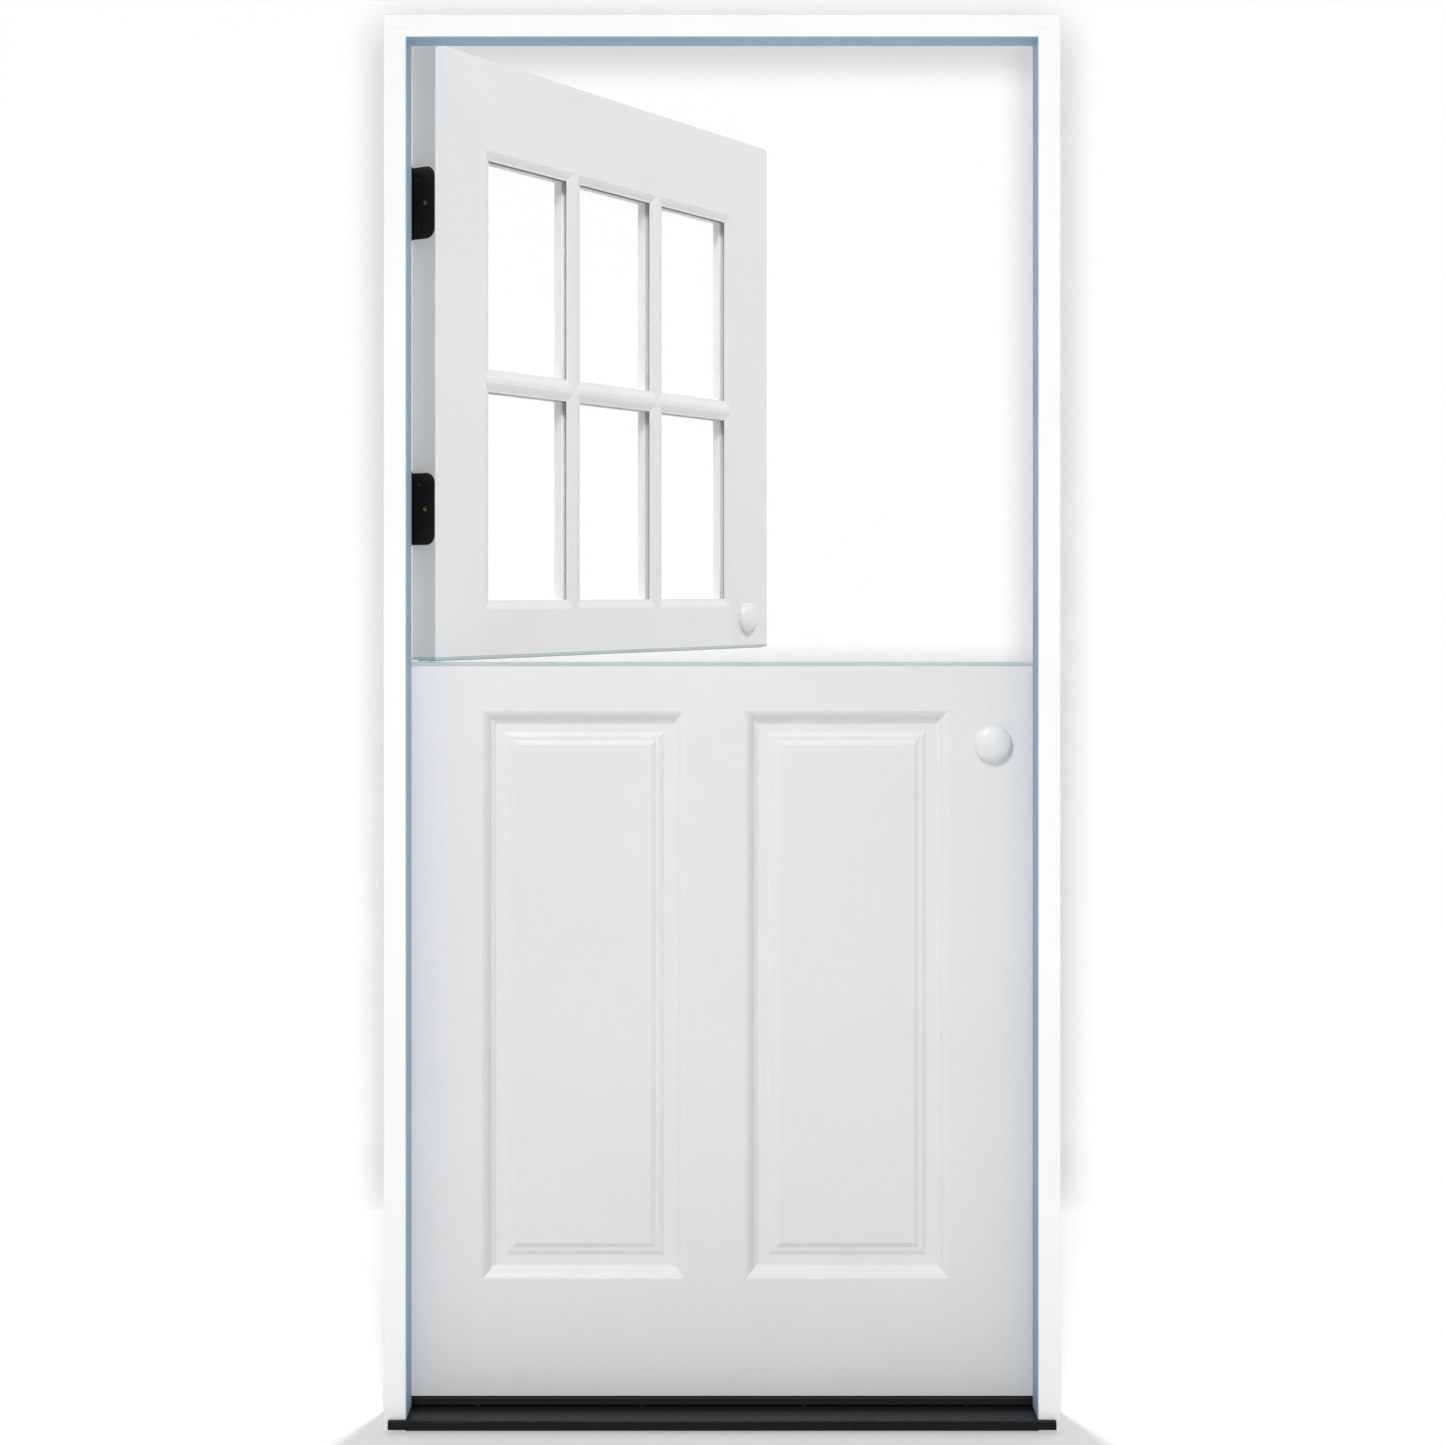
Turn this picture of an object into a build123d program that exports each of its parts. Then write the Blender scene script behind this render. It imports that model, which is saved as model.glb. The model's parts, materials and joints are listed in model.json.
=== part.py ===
from build123d import *
from math import atan2, degrees
import os

# Dutch stable door in its rebated frame: a glazed upper leaf and a panelled lower leaf,
# each hung on its own pair of butt hinges, both opening inward.
# Origin: middle of the width, front plane of the frame, underside of the sill.
# X runs to the right, Y inward through the frame, Z up. Millimetres.

# Frame
frame_width = 975.0
frame_height = 2040.0
jamb_thickness = 31.75
rabbet = 12.7
stop_depth = 51.0
seal_gap = 5.0
eased_edge = 0.8

# Leaves
leaf_thickness = 44.45
hinge_gap = 1.7
latch_gap = 3.2
head_gap = 2.0
leaf_bottom = 30.0
lower_top = 1104.0
meeting_gap = 3.0
top_strip = 5.0
bottom_strip = 4.5
open_angle = 57.15

# Upper leaf members
upper_hinge_stile = 116.0
upper_lock_stile = 121.0
upper_top_rail = 138.0
meeting_rail = 74.0
lite_columns = 3
lite_rows = 2
bar_flat = 7.0

# Lower leaf members
lower_hinge_stile = 115.0
lower_lock_stile = 133.0
lower_top_rail = 70.5
bottom_rail = 171.0
mullion_width = 88.0

# Moulded edge of the upper leaf: width, drop, and the plain edge left below it
glass_moulding = 14.0
glass_drop = 5.0
glass_lip = 1.5
pane_thickness = 18.0
pane_bite = 11.0
mitre_gap = 0.1

# Moulded edge of the lower leaf, its groove and the raised panels
panel_moulding = 17.0
panel_drop = 12.4
groove_width = 16.0
tongue_clearance = 1.5
panel_margin = 14.3
step_run = 7.0
step_rise = 3.0
step_ledge = 5.0

# Shapes of the mouldings: round the glass a quarter round that ends in a shallow fillet,
# round the panels an ogee, which is a round that turns into a hollow
round_share = 0.78
round_drop_share = 0.88
round_bulge = 0.09
ogee_share = 0.6
ogee_drop_share = 0.62
ogee_bulge = 0.11
ogee_hollow = 0.10

# Butt hinges
hinge_height = 107.0
hinge_reach = 50.8
hinge_plate = 2.5
hinge_corner = 15.9
barrel_radius = 6.75
barrel_offset = 7.5
pin_radius = 3.9
pin_clearance = 0.08
pin_head_radius = 6.2
pin_head_height = 3.0
pin_head_round = 1.2
knuckle_count = 5
knuckle_gap = 0.3
barrel_relief = 0.4
upper_hinge_heights = (1331.0, 1785.0)
lower_hinge_heights = (284.0, 875.0)

# Screws
screw_head_radius = 4.2
screw_shank_radius = 2.2
screw_head_height = 2.3
jamb_screw_length = 18.0
leaf_screw_length = 28.0
outer_screw_reach = 21.0
outer_screw_rise = 36.0
middle_screw_reach = 32.5
corner_screw_length = 70.0
sill_screw_length = 58.0

# Lock preparation
backset = 68.0
bore_radius = 27.0
latch_bore_radius = 12.7
upper_bore_height = 1160.0
lower_bore_height = 985.0
faceplate_height = 57.0
faceplate_width = 25.4
faceplate_depth = 3.0
cap_flange_radius = 27.8
cap_flange = 2.0
cap_height = 14.0
cap_wall = 1.8
cap_spigot = 6.0

# Weatherstrip
carrier = 1.0
carrier_setback = 1.0
bulb_width = 10.0
bulb_clearance = 0.4
kerf_width = 3.0
kerf_depth = 9.0
barb_slack = 0.3
barb_depth = 8.0

# Sill
base_height = 8.0
nosing_reach = 10.0
nosing_underside = 5.0
horn_reach = 480.0
tread_front = 16.5
tread_back = 17.2
tread_skin = 2.5
cap_rail_top = 28.5
cap_rail_bottom = 18.4
cap_rail_wall = 2.5
cap_rail_depth = 45.0
cap_rail_end_gap = 0.5
cap_channel_floor = 10.0
rear_lip = 3.0
rear_lip_top = 24.0
adjuster_radius = 4.0
adjuster_collar_radius = 7.5
adjuster_collar = 2.0
adjuster_head_radius = 5.0
adjuster_places = (-360.0, -120.0, 120.0, 360.0)
lip_radius = 1.1
lip_rise = 1.0
nosing_recess = 1.3
ledge_top = 12.4
ledge_chamfer = 0.8
groove_places = (-4.0, 5.0, 14.0, 23.0)
groove_radius = 0.8
cap_rail_round = 1.2
cap_groove = 0.9
cap_groove_drop = 3.0
sweep_plate = 1.1
sweep_stem_width = 10.0
sweep_stem_height = 8.0
seal_rib = 2.0
seal_rib_inset = 12.0
strip_round = 1.0

# Worked out from the above
side = frame_width / 2
stop_face = side - jamb_thickness
rabbet_face = stop_face + rabbet
head_underside = frame_height - jamb_thickness
head_rabbet = head_underside + rabbet
face = stop_depth + seal_gap
back = face + leaf_thickness
frame_depth = back
leaf_left = -rabbet_face + hinge_gap
leaf_right = rabbet_face - latch_gap
leaf_top = head_rabbet - head_gap
upper_bottom = lower_top + meeting_gap
upper_wood_bottom = upper_bottom + bottom_strip
lower_wood_top = lower_top - top_strip
pin_x = -rabbet_face + hinge_gap / 2
pin_y = back + barrel_offset
pane_front = glass_drop + glass_lip
pane_back = pane_front + pane_thickness
groove_front = (leaf_thickness - groove_width) / 2
groove_back = groove_front + groove_width
bore_x = leaf_right - backset
step_slope = degrees(atan2(step_run, step_rise))
tread_fall = (tread_back - tread_front) / stop_depth
pin_axis = Axis((pin_x, pin_y, 0), (0, 0, 1))

# Flat edges of the framing: the clear rectangle inside the stiles and rails
glazed_left = leaf_left + upper_hinge_stile
glazed_right = leaf_right - upper_lock_stile
glazed_bottom = upper_bottom + meeting_rail
glazed_top = leaf_top - upper_top_rail
panelled_left = leaf_left + lower_hinge_stile
panelled_right = leaf_right - lower_lock_stile
panelled_bottom = leaf_bottom + bottom_rail
panelled_top = lower_top - lower_top_rail

standing = (Align.CENTER, Align.CENTER, Align.MIN)
hanging = (Align.CENTER, Align.CENTER, Align.MAX)
quarter_turn = 90.0

os.makedirs("parts", exist_ok=True)


def save(node, name, swing=0.0):
    """Label one finished piece and write it, turned about the pins if its leaf stands open."""
    piece = node.part.rotate(pin_axis, swing, transform=True) if swing else node.part
    piece.label = name
    export_step(piece, f"parts/{name}.step")


def member_plane(start, inward):
    """Plane across a member: x runs inward from its outer edge, y through the leaf."""
    inward = Vector(inward)
    return Plane(origin=start, x_dir=inward, z_dir=inward.cross(Vector(0, 1, 0)))


def bowed_arc(start, end, rise):
    """Arc between two points, its middle raised across the leaf by the given amount."""
    middle = ((start[0] + end[0]) / 2, (start[1] + end[1]) / 2 + rise)
    ThreePointArc(start, middle, end)


def moulding(edge, toward, surface, inward):
    """Quarter round and fillet from a flat edge down to the sight line of the glass."""
    start = (edge, surface)
    knee = (
        edge + toward * glass_moulding * round_share,
        surface + inward * glass_drop * round_drop_share,
    )
    sight = (edge + toward * glass_moulding, surface + inward * glass_drop)
    bowed_arc(start, knee, -inward * glass_drop * round_bulge)
    Line(knee, sight)
    return sight


def ogee(edge, toward, surface, inward):
    """Round that turns into a hollow, from a flat edge down to the lip over a panel."""
    start = (edge, surface)
    turn = (
        edge + toward * panel_moulding * ogee_share,
        surface + inward * panel_drop * ogee_drop_share,
    )
    lip = (edge + toward * panel_moulding, surface + inward * panel_drop)
    bowed_arc(start, turn, -inward * panel_drop * ogee_bulge)
    bowed_arc(turn, lip, inward * panel_drop * ogee_hollow)
    return lip


def glazed_section(width):
    """Stile or rail of the upper leaf: moulded lip in front, glazing rabbet behind."""
    with BuildLine() as outline:
        Line((0, 0), (width, 0))
        sight = moulding(width, 1, 0, 1)
        Polyline(
            sight,
            (sight[0], pane_front),
            (width, pane_front),
            (width, leaf_thickness),
            (0, leaf_thickness),
            (0, 0),
        )
    make_face(outline.edges())


def bar_section():
    """Glazing bar: moulded on both sides in front, a thin web between the panes behind."""
    half = bar_flat / 2
    with BuildLine() as outline:
        Line((-half, 0), (half, 0))
        right = moulding(half, 1, 0, 1)
        left = moulding(-half, -1, 0, 1)
        Polyline(
            right,
            (right[0], pane_front),
            (half, pane_front),
            (half, leaf_thickness),
            (-half, leaf_thickness),
            (-half, pane_front),
            (left[0], pane_front),
            left,
        )
    make_face(outline.edges())


def bead_section():
    """Loose bead that holds a pane from the inside, moulded like the lip in front."""
    with BuildLine() as outline:
        sight = moulding(0, 1, leaf_thickness, -1)
        Polyline(sight, (sight[0], pane_back), (0, pane_back), (0, leaf_thickness))
    make_face(outline.edges())


def panelled_section(width):
    """Stile or rail of the lower leaf: moulded on both faces, grooved between."""
    with BuildLine() as outline:
        Line((0, 0), (width, 0))
        front = ogee(width, 1, 0, 1)
        rear = ogee(width, 1, leaf_thickness, -1)
        Polyline(
            front,
            (front[0], groove_front),
            (width, groove_front),
            (width, groove_back),
            (rear[0], groove_back),
            rear,
        )
        Polyline((width, leaf_thickness), (0, leaf_thickness), (0, 0))
    make_face(outline.edges())


def mullion_section():
    """Mullion of the lower leaf: the same edge on both sides."""
    half = mullion_width / 2
    with BuildLine() as outline:
        Line((-half, 0), (half, 0))
        Line((-half, leaf_thickness), (half, leaf_thickness))
        for toward in (-1, 1):
            edge = toward * half
            front = ogee(edge, toward, 0, 1)
            rear = ogee(edge, toward, leaf_thickness, -1)
            Polyline(
                front,
                (front[0], groove_front),
                (edge, groove_front),
                (edge, groove_back),
                (rear[0], groove_back),
                rear,
            )
    make_face(outline.edges())


def hinge_outline(height):
    """Outline of one hinge plate, square at the barrel and rounded at its free corners."""
    free_edge = pin_y - hinge_reach
    top = height + hinge_height / 2
    bottom = height - hinge_height / 2
    with BuildLine() as outline:
        Polyline((free_edge + hinge_corner, top), (pin_y, top), (pin_y, bottom),
                 (free_edge + hinge_corner, bottom))
        Line((free_edge, bottom + hinge_corner), (free_edge, top - hinge_corner))
        RadiusArc((free_edge + hinge_corner, bottom), (free_edge, bottom + hinge_corner),
                  hinge_corner)
        RadiusArc((free_edge, top - hinge_corner), (free_edge + hinge_corner, top),
                  hinge_corner)
    make_face(outline.edges())


def screw_seats(heights, plate_face, into, middle):
    """Seats on the hinge plates: the middle screw of each, or the two outer ones."""
    seats = []
    for height in heights:
        if middle:
            spots = [(middle_screw_reach, 0.0)]
        else:
            spots = [(outer_screw_reach, outer_screw_rise), (outer_screw_reach, -outer_screw_rise)]
        for reach, rise in spots:
            seats.append(Plane(
                origin=(plate_face, pin_y - reach, height + rise),
                x_dir=(0, 1, 0),
                z_dir=(into, 0, 0),
            ))
    return seats


def cut_hinge_mortises(heights, plate_face, into, screw_length):
    """Pockets for the hinge plates and holes for their screws, in the part being built."""
    for height in heights:
        with BuildSketch(Plane.YZ.offset(plate_face)) as pocket:
            hinge_outline(height)
        extrude(pocket.sketch, amount=into * hinge_plate, mode=Mode.SUBTRACT)
    seats = (screw_seats(heights, plate_face, into, True)
             + screw_seats(heights, plate_face, into, False))
    with Locations(*seats):
        Cylinder(screw_shank_radius, screw_length, align=standing, mode=Mode.SUBTRACT)


def hinge_leaf(height, plate_face, into, rows):
    """One plate of a butt hinge with its share of the knuckles."""
    knuckle = (hinge_height - (knuckle_count - 1) * knuckle_gap) / knuckle_count
    foot = height - hinge_height / 2
    with BuildPart() as leaf:
        with BuildSketch(Plane.YZ.offset(plate_face)):
            hinge_outline(height)
        extrude(amount=into * hinge_plate)
        for row in range(knuckle_count):
            start = foot + row * (knuckle + knuckle_gap)
            if row in rows:
                with Locations((pin_x, pin_y, start)):
                    Cylinder(barrel_radius, knuckle, align=standing)
            else:
                with Locations((pin_x, pin_y, start - knuckle_gap)):
                    Cylinder(barrel_radius + barrel_relief, knuckle + 2 * knuckle_gap,
                             align=standing, mode=Mode.SUBTRACT)
        bore = pin_radius + (pin_clearance if into > 0 else 0.0)
        with Locations((pin_x, pin_y, foot)):
            Cylinder(bore, hinge_height, align=standing, mode=Mode.SUBTRACT)
        seats = (screw_seats([height], plate_face, -into, True)
                 + screw_seats([height], plate_face, -into, False))
        with Locations(*seats):
            CounterSinkHole(screw_shank_radius, screw_head_radius, depth=hinge_plate * 2)
    return leaf


def screws(seats, length):
    """Countersunk wood screws, heads flush with the plate that they hold."""
    with BuildPart() as group:
        with Locations(*seats):
            Cone(screw_head_radius, screw_shank_radius, screw_head_height, align=standing)
            with Locations((0, 0, screw_head_height)):
                Cylinder(screw_shank_radius, length - screw_head_height, align=standing)
    return group


def bore_cap(height):
    """Domed snap-in cap over the lock bore, hollow, with a short spigot in the bore."""
    inner_height = cap_height - cap_flange - cap_wall
    with BuildPart() as cap:
        with BuildSketch(Plane(origin=(bore_x, face, height), z_dir=(0, 0, 1))):
            with BuildLine():
                EllipticalCenterArc((0, -cap_flange), cap_flange_radius, cap_height - cap_flange,
                                    start_angle=3 * quarter_turn, arc_size=quarter_turn)
                Polyline(
                    (cap_flange_radius, -cap_flange),
                    (cap_flange_radius, 0),
                    (bore_radius, 0),
                    (bore_radius, cap_spigot),
                    (bore_radius - cap_wall, cap_spigot),
                    (bore_radius - cap_wall, -cap_flange),
                )
                EllipticalCenterArc((0, -cap_flange), bore_radius - cap_wall, inner_height,
                                    start_angle=3 * quarter_turn, arc_size=quarter_turn)
                Line((0, -cap_flange - inner_height), (0, -cap_height))
            make_face()
        revolve(axis=Axis((bore_x, face, height), (0, 1, 0)))
    return cap


def cut_lock_bores(height):
    """Cross bore for the lock, edge bore for the latch, and the faceplate's pocket."""
    with Locations(Plane(origin=(bore_x, face, height), z_dir=(0, 1, 0))):
        Cylinder(bore_radius, leaf_thickness, align=standing, mode=Mode.SUBTRACT)
    edge = Plane(origin=(leaf_right, (face + back) / 2, height), x_dir=(0, 1, 0),
                 z_dir=(-1, 0, 0))
    with Locations(edge):
        Cylinder(latch_bore_radius, backset, align=standing, mode=Mode.SUBTRACT)
        Box(faceplate_width, faceplate_height, faceplate_depth, align=standing,
            mode=Mode.SUBTRACT)


# Screws that join the frame, two at each end of a side jamb
board_middle = (side + rabbet_face) / 2
screw_depths = (stop_depth / 2, (stop_depth + frame_depth) / 2)


def sill_screw_seats(hand):
    """Where the screws go through a side jamb into the end of the sill base."""
    return [
        Plane(origin=(hand * side, depth, base_height / 2), z_dir=(-hand, 0, 0))
        for depth in screw_depths
    ]


def corner_screw_seats():
    """Where the screws go down through the head jamb into the side jambs."""
    return [
        Plane(origin=(hand * board_middle, depth, frame_height), z_dir=(0, 0, -1))
        for hand in (-1, 1)
        for depth in screw_depths
    ]


# Side jambs: rebated boards that stand beside the sill and under the head
def side_jamb(hand):
    """One side jamb; hand is -1 on the hinge side and 1 on the latch side."""
    with BuildPart() as jamb:
        with BuildSketch(Plane.XY):
            with BuildLine():
                Polyline(
                    (hand * side, 0),
                    (hand * stop_face, 0),
                    (hand * stop_face, stop_depth),
                    (hand * rabbet_face, stop_depth),
                    (hand * rabbet_face, frame_depth),
                    (hand * side, frame_depth),
                    close=True,
                )
            make_face()
            with Locations((hand * (stop_face + rabbet / 2), stop_depth - kerf_depth / 2)):
                Rectangle(kerf_width, kerf_depth, mode=Mode.SUBTRACT)
        extrude(amount=head_rabbet)
        chamfer(jamb.faces().sort_by(Axis.Y)[0].edges(), eased_edge)
        chamfer(jamb.edges().filter_by(Axis.Z).group_by(Axis.Y)[-1], eased_edge)
        with Locations(*[(hand * board_middle, depth, head_rabbet) for depth in screw_depths]):
            Cylinder(screw_shank_radius, corner_screw_length - jamb_thickness + rabbet,
                     align=hanging, mode=Mode.SUBTRACT)
        with Locations(*sill_screw_seats(hand)):
            Cylinder(screw_shank_radius, sill_screw_length, align=standing, mode=Mode.SUBTRACT)
            Cone(screw_head_radius, screw_shank_radius, screw_head_height, align=standing,
                 mode=Mode.SUBTRACT)
        if hand < 0:
            cut_hinge_mortises(upper_hinge_heights + lower_hinge_heights, -rabbet_face, -1,
                               jamb_screw_length)
    return jamb


hinge_jamb = side_jamb(-1)
save(hinge_jamb, "hinge_jamb")
latch_jamb = side_jamb(1)
save(latch_jamb, "latch_jamb")

# Head jamb: its board runs over both side jambs, its stop drops in between them
with BuildPart() as head_jamb:
    with BuildSketch(Plane.YZ.offset(-side)):
        with Locations((0, head_rabbet)):
            Rectangle(frame_depth, frame_height - head_rabbet, align=(Align.MIN, Align.MIN))
    extrude(amount=frame_width)
    with BuildSketch(Plane.YZ.offset(-stop_face)):
        with Locations((0, head_underside)):
            Rectangle(stop_depth, rabbet, align=(Align.MIN, Align.MIN))
        with Locations((stop_depth, head_underside + rabbet / 2)):
            Rectangle(kerf_depth, kerf_width, align=(Align.MAX, Align.CENTER),
                      mode=Mode.SUBTRACT)
    extrude(amount=2 * stop_face)
    chamfer(head_jamb.faces().sort_by(Axis.Y)[0].edges(), eased_edge)
    chamfer(head_jamb.edges().filter_by(Axis.X).group_by(Axis.Z)[-1].sort_by(Axis.Y)[-1],
            eased_edge)
    with Locations(*corner_screw_seats()):
        Cylinder(screw_shank_radius, jamb_thickness, align=standing, mode=Mode.SUBTRACT)
        Cone(screw_head_radius, screw_shank_radius, screw_head_height, align=standing,
             mode=Mode.SUBTRACT)
save(head_jamb, "head_jamb")


# Sill: base, aluminium tread with its nosing and horns, adjustable cap on four screws
def sill_plan():
    """Plan of the sill: horns in front of the jambs, then the widths between them."""
    with BuildLine() as outline:
        Polyline(
            (horn_reach, -nosing_reach),
            (horn_reach, 0),
            (stop_face, 0),
            (stop_face, stop_depth),
            (rabbet_face, stop_depth),
            (rabbet_face, frame_depth),
            (-rabbet_face, frame_depth),
            (-rabbet_face, stop_depth),
            (-stop_face, stop_depth),
            (-stop_face, 0),
            (-horn_reach, 0),
            (-horn_reach, -nosing_reach),
            close=True,
        )
    make_face(outline.edges())


with BuildPart() as sill_base:
    with BuildSketch(Plane.YZ.offset(-horn_reach)):
        with BuildLine():
            Polyline(
                (-nosing_reach + tread_skin, nosing_underside),
                (0, nosing_underside),
                (0, 0),
                (frame_depth, 0),
                (frame_depth, base_height),
                (stop_depth - tread_skin, base_height),
                (stop_depth - tread_skin, tread_back - tread_skin),
                (0, tread_front - tread_skin),
                (-nosing_reach + tread_skin, tread_front - tread_skin),
                close=True,
            )
        make_face()
    extrude(amount=2 * horn_reach)
    with BuildSketch(Plane.XY):
        sill_plan()
    extrude(amount=tread_back, mode=Mode.INTERSECT)
    with Locations(*(sill_screw_seats(-1) + sill_screw_seats(1))):
        Cylinder(screw_shank_radius, sill_screw_length, align=standing, mode=Mode.SUBTRACT)
save(sill_base, "sill_base")

with BuildPart() as sill_tread:
    with BuildSketch(Plane.YZ.offset(-horn_reach)):
        with BuildLine():
            Polyline(
                (-nosing_reach, nosing_underside),
                (-nosing_reach, ledge_top - ledge_chamfer),
                (-nosing_reach + ledge_chamfer, ledge_top),
                (-nosing_reach + nosing_recess, ledge_top),
                (-nosing_reach + nosing_recess, tread_front),
                (0, tread_front),
                (stop_depth, tread_back),
                (stop_depth, cap_channel_floor),
                (frame_depth - rear_lip, cap_channel_floor),
                (frame_depth - rear_lip, rear_lip_top),
                (frame_depth, rear_lip_top),
                (frame_depth, base_height),
                (stop_depth - tread_skin, base_height),
                (stop_depth - tread_skin, tread_back - tread_skin),
                (0, tread_front - tread_skin),
                (-nosing_reach + tread_skin, tread_front - tread_skin),
                (-nosing_reach + tread_skin, nosing_underside),
                close=True,
            )
        make_face()
        with Locations((-nosing_reach + lip_radius, tread_front + lip_rise - lip_radius)):
            Circle(lip_radius)
        with Locations(*[(place, tread_front + max(place, 0) * tread_fall)
                         for place in groove_places]):
            Circle(groove_radius, mode=Mode.SUBTRACT)
    extrude(amount=2 * horn_reach)
    with BuildSketch(Plane.XY):
        sill_plan()
    extrude(amount=rear_lip_top, mode=Mode.INTERSECT)
save(sill_tread, "sill_tread")

cap_front = stop_depth + carrier
with BuildPart() as sill_cap:
    with BuildSketch(Plane.YZ.offset(-rabbet_face + cap_rail_end_gap)):
        with Locations((cap_front, cap_rail_bottom)):
            Rectangle(cap_rail_depth, cap_rail_top - cap_rail_bottom,
                      align=(Align.MIN, Align.MIN))
        with Locations((cap_front + cap_rail_wall, cap_rail_bottom)):
            Rectangle(cap_rail_depth - 2 * cap_rail_wall,
                      cap_rail_top - cap_rail_bottom - cap_rail_wall,
                      align=(Align.MIN, Align.MIN), mode=Mode.SUBTRACT)
        with Locations((cap_front, cap_rail_top - cap_groove_drop)):
            Rectangle(cap_groove, cap_groove, align=(Align.MIN, Align.MAX), mode=Mode.SUBTRACT)
    extrude(amount=2 * (rabbet_face - cap_rail_end_gap))
    fillet(sill_cap.edges().filter_by(Axis.X).group_by(Axis.Z)[-1], cap_rail_round)
    with Locations(*[(x, cap_front + cap_rail_depth / 2, cap_rail_top)
                     for x in adjuster_places]):
        Cylinder(adjuster_head_radius, cap_rail_wall, align=hanging, mode=Mode.SUBTRACT)
save(sill_cap, "sill_cap")

with BuildPart() as sill_adjusters:
    with Locations(*[(x, cap_front + cap_rail_depth / 2, cap_channel_floor)
                     for x in adjuster_places]):
        Cylinder(adjuster_radius, cap_rail_top - cap_rail_wall - cap_channel_floor,
                 align=standing)
        with Locations((0, 0, cap_rail_top - cap_rail_wall - cap_channel_floor)):
            Cylinder(adjuster_collar_radius, adjuster_collar, align=hanging)
            Cylinder(adjuster_head_radius, cap_rail_wall, align=standing)
save(sill_adjusters, "sill_adjusters")

frame_screws = screws(corner_screw_seats(), corner_screw_length)
save(frame_screws, "frame_screws")
sill_screws = screws(sill_screw_seats(-1) + sill_screw_seats(1), sill_screw_length)
save(sill_screws, "sill_screws")


# Weatherstrips: a thin carrier lines the return, a bulb sits on the shoulder of the rabbet
def strip_outline(shoulder, hand):
    """Section in plan of a strip's foot, its barb in the kerf and its bulb toward the leaf."""
    kerf = shoulder + hand * rabbet / 2
    barb = hand * (kerf_width / 2 - barb_slack)
    far = shoulder + hand * bulb_width
    foot = stop_depth + carrier
    with BuildLine() as outline:
        Polyline(
            (shoulder, foot),
            (shoulder, stop_depth),
            (kerf - barb, stop_depth),
            (kerf - barb, stop_depth - barb_depth),
            (kerf + barb, stop_depth - barb_depth),
            (kerf + barb, stop_depth),
            (far, stop_depth),
            (far, foot),
        )
        ThreePointArc((far, foot), ((shoulder + far) / 2, face - bulb_clearance),
                      (shoulder, foot))
    make_face(outline.edges())


def side_weatherstrip(hand):
    """Strip on one side jamb, from the sill up to the strip on the head."""
    with BuildPart() as strip:
        with BuildSketch(Plane.XY.offset(tread_back)):
            with Locations((hand * (stop_face - carrier / 2), carrier_setback)):
                Rectangle(carrier, stop_depth + carrier - carrier_setback,
                          align=(Align.CENTER, Align.MIN))
        extrude(amount=head_underside - carrier - tread_back)
        with BuildSketch(Plane.XY.offset(leaf_bottom)):
            strip_outline(hand * stop_face, hand)
        extrude(amount=head_rabbet - leaf_bottom)
    return strip


weatherstrip_hinge_side = side_weatherstrip(-1)
save(weatherstrip_hinge_side, "weatherstrip_hinge_side")
weatherstrip_latch_side = side_weatherstrip(1)
save(weatherstrip_latch_side, "weatherstrip_latch_side")

# On the head the section is turned: its x runs up from the stop, its y inward
with BuildPart() as weatherstrip_head:
    with BuildSketch(Plane(origin=(stop_face, 0, 0), x_dir=(0, 0, 1), z_dir=(-1, 0, 0))):
        with Locations((head_underside - carrier / 2, carrier_setback)):
            Rectangle(carrier, stop_depth + carrier - carrier_setback,
                      align=(Align.CENTER, Align.MIN))
        strip_outline(head_underside, 1)
    extrude(amount=2 * stop_face)
save(weatherstrip_head, "weatherstrip_head")

# Hinges: the jamb plates carry three knuckles each, the leaf plates the two between
jamb_rows = range(0, knuckle_count, 2)
leaf_rows = range(1, knuckle_count, 2)
for number, height in enumerate(lower_hinge_heights + upper_hinge_heights, start=1):
    jamb_hinge = hinge_leaf(height, -rabbet_face, -1, jamb_rows)
    save(jamb_hinge, f"jamb_hinge_plate_{number}")
    with BuildPart() as hinge_pin:
        with Locations((pin_x, pin_y, height - hinge_height / 2)):
            Cylinder(pin_radius, hinge_height, align=standing)
        with Locations((pin_x, pin_y, height + hinge_height / 2)):
            Cylinder(pin_head_radius, pin_head_height, align=standing)
        fillet(hinge_pin.edges().filter_by(GeomType.CIRCLE).group_by(Axis.Z)[-1],
               pin_head_round)
    save(hinge_pin, f"hinge_pin_{number}")

jamb_hinge_screws = screws(
    screw_seats(lower_hinge_heights + upper_hinge_heights, -rabbet_face, -1, True)
    + screw_seats(lower_hinge_heights + upper_hinge_heights, -rabbet_face, -1, False),
    jamb_screw_length,
)
save(jamb_hinge_screws, "jamb_hinge_screws")


def hang(leaf, heights, swing):
    """Hinge plates and screws on one leaf's hinge edge; the middle screws are brass."""
    for number, height in enumerate(heights, start=1):
        save(hinge_leaf(height, leaf_left, 1, leaf_rows), f"{leaf}_hinge_plate_{number}", swing)
    save(screws(screw_seats(heights, leaf_left, 1, False), leaf_screw_length),
         f"{leaf}_hinge_screws", swing)
    save(screws(screw_seats(heights, leaf_left, 1, True), leaf_screw_length),
         f"{leaf}_brass_screws", swing)


# Upper leaf: stiles run through, rails and bars are coped over their moulded edges
with BuildPart() as upper_hinge_stile_part:
    with BuildSketch(member_plane((leaf_left, face, upper_wood_bottom), (1, 0, 0))):
        glazed_section(upper_hinge_stile)
    extrude(amount=leaf_top - upper_wood_bottom)
    cut_hinge_mortises(upper_hinge_heights, leaf_left, 1, leaf_screw_length)
save(upper_hinge_stile_part, "upper_hinge_stile", open_angle)

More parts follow.
